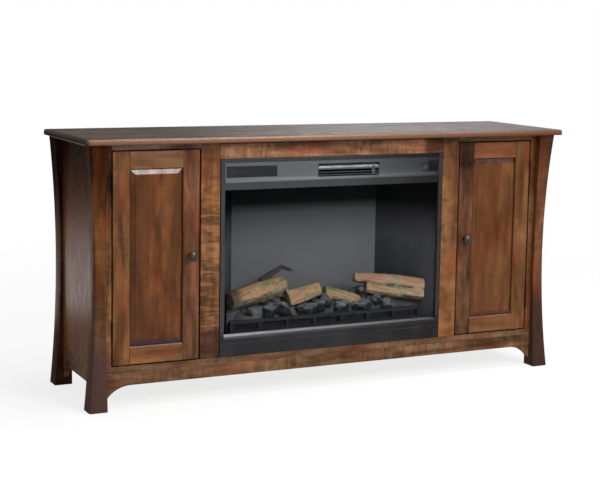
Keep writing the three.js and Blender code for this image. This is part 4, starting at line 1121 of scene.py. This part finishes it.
class STAND_OT_stage(bpy.types.Operator):
    """Floor, white surroundings, soft box and camera"""

    bl_idname = "stand.stage"
    bl_label = "Stage"

    def execute(self, context):
        settings = context.scene.stand_stage
        self.make_floor(settings)
        self.make_world(settings)
        self.make_lamps(settings)
        self.make_camera(settings)
        context.scene.view_settings.view_transform = "Standard"
        return {"FINISHED"}

    def ray_kinds(self, mat):
        """Whether a ray comes from a reflection, and whether from the camera, also through glass"""
        path = add_node(mat, "ShaderNodeLightPath").outputs
        direct = math_node(mat, "MAXIMUM", path["Is Camera Ray"], path["Is Transmission Ray"])
        return path["Is Glossy Ray"], direct

    def make_floor(self, settings):
        """White paper that keeps the stand's shadow, and whose reflection is lit behind the stand only"""
        deselect_all()
        bpy.ops.mesh.primitive_plane_add(size=FLOOR_SIZE, location=(0, 0, CAD_BOX[0].z))
        floor = bpy.context.object
        floor.name = "studio_floor"
        bpy.ops.object.transform_apply()
        mat = new_material("White studio paper")
        white = (*settings.backdrop, 1)
        reflected, direct = self.ray_kinds(mat)
        where = add_node(mat, "ShaderNodeTexCoord").outputs["Object"]
        away = add_node(mat, "ShaderNodeVectorMath", {0: where}, operation="LENGTH").outputs["Value"]
        depth = own_places(mat)["Y"]
        lit = math_node(
            mat, "MULTIPLY", grey_ramp(mat, depth, *FLOOR_RISE), grey_ramp(mat, depth, *FLOOR_FALL))
        paper = add_node(mat, "ShaderNodeBsdfDiffuse", {"Color": white})
        glow = add_node(mat, "ShaderNodeEmission", {"Color": white})
        gleam = add_node(mat, "ShaderNodeEmission", {"Color": white, "Strength": lit})
        seen = mix_shaders(mat, grey_ramp(mat, away, *FLOOR_GLOW), paper, glow)
        mixed = mix_shaders(mat, reflected, paper, gleam)
        shown = mix_shaders(mat, direct, mixed, seen)
        add_node(mat, "ShaderNodeOutputMaterial", {"Surface": shown.outputs[0]})
        floor.data.materials.append(mat)

    def make_world(self, settings):
        """An even room, white to the camera; reflections find the backdrop, a dim room and a soft patch"""
        world = bpy.data.worlds.new("White room")
        bpy.context.scene.world = world
        world.use_nodes = True
        world.node_tree.nodes.clear()
        reflected, direct = self.ray_kinds(world)
        towards = add_node(world, "ShaderNodeTexCoord").outputs["Generated"]
        x, y, _ = add_node(world, "ShaderNodeSeparateXYZ", {"Vector": towards}).outputs
        sides = math_node(
            world, "MULTIPLY", grey_ramp(world, x, *BACKDROP_LEFT), grey_ramp(world, x, *BACKDROP_RIGHT))
        back = math_node(world, "MULTIPLY", sides, grey_ramp(world, y, *BACKDROP))
        room = math_node(world, "MULTIPLY", grey_ramp(world, x, *ROOM), grey_ramp(world, y, *ROOM_DEPTH))
        aside = add_node(world, "ShaderNodeVectorMath", {0: towards, 1: PATCH_HEADING}, operation="DISTANCE")
        patch = grey_ramp(world, aside.outputs["Value"], *PATCH)
        gleam = math_node(world, "ADD", math_node(world, "MAXIMUM", room, back), patch)
        level = grey_ramp(world, reflected, 0.0, 1.0, ROOM_LEVEL, gleam)
        shown = grey_ramp(world, direct, 0.0, 1.0, level)
        light = add_node(
            world, "ShaderNodeBackground", {"Color": (*settings.backdrop, 1), "Strength": shown})
        add_node(world, "ShaderNodeOutputWorld", {"Surface": light.outputs[0]})

    def make_lamps(self, settings):
        key = self.add_lamp("soft_box", settings.key_power, settings.key_place, (settings.key_size,) * 2)
        middle = Vector((0, 0, (CAD_BOX[0].z + CAD_BOX[1].z) / 2))
        key.rotation_euler = (middle - key.location).to_track_quat("-Z", "Y").to_euler()
        # Its mirror image comes from the soft patch of the world instead, which has no hard edge
        key.visible_glossy = False
        self.add_lamp("ceiling_strip", settings.strip_power, settings.strip_place, settings.strip_size)

    def add_lamp(self, name, power, place, size):
        data = bpy.data.lights.new(name, "AREA")
        data.shape = "RECTANGLE"
        data.energy = power
        data.size, data.size_y = size
        lamp = new_object(name, data)
        lamp.location = place
        return lamp

    def make_camera(self, settings):
        data = bpy.data.cameras.new("photo_view")
        data.sensor_width = SENSOR_WIDTH
        data.lens = settings.lens
        data.shift_y = VERTICAL_SHIFT
        camera = new_object("photo_view", data)
        yaw, pitch, roll = settings.camera_turn
        camera.matrix_world = (
            Matrix.Translation(settings.camera_place) @ Matrix.Rotation(-yaw, 4, "Z")
            @ Matrix.Rotation(math.pi / 2 + pitch, 4, "X") @ Matrix.Rotation(roll, 4, "Z"))
        bpy.context.scene.camera = camera


class STAND_PT_panel(bpy.types.Panel):
    """Lists the parts of the stand"""

    bl_idname = "STAND_PT_panel"
    bl_label = "Fireplace TV Stand"
    bl_space_type = "VIEW_3D"
    bl_region_type = "UI"
    bl_category = "TV Stand"

    def draw(self, context):
        for operator in OPERATORS:
            self.layout.operator(operator.bl_idname)
        for name in GROUPS:
            box = self.layout.box()
            settings = getattr(context.scene, name)
            for key in settings.__annotations__:
                box.prop(settings, key)


GROUPS = {
    "stand_stage": STAND_PG_stage,
    "stand_finish": STAND_PG_finish,
    "stand_fire": STAND_PG_fire,
}
OPERATORS = (
    STAND_OT_stage, STAND_OT_carcass, STAND_OT_doors, STAND_OT_hinges, STAND_OT_knobs, STAND_OT_interior,
    STAND_OT_insert, STAND_OT_vent, STAND_OT_firebox, STAND_OT_logs, STAND_OT_embers,
)


def register():
    for cls in (*GROUPS.values(), *OPERATORS, STAND_PT_panel):
        bpy.utils.register_class(cls)
    for name, cls in GROUPS.items():
        setattr(bpy.types.Scene, name, bpy.props.PointerProperty(type=cls))


def unregister():
    for name in GROUPS:
        delattr(bpy.types.Scene, name)
    for cls in reversed((*GROUPS.values(), *OPERATORS, STAND_PT_panel)):
        bpy.utils.unregister_class(cls)


def main():
    register()
    for operator in OPERATORS:
        group, name = operator.bl_idname.split(".")
        getattr(getattr(bpy.ops, group), name)()


if __name__ == "__main__":
    main()
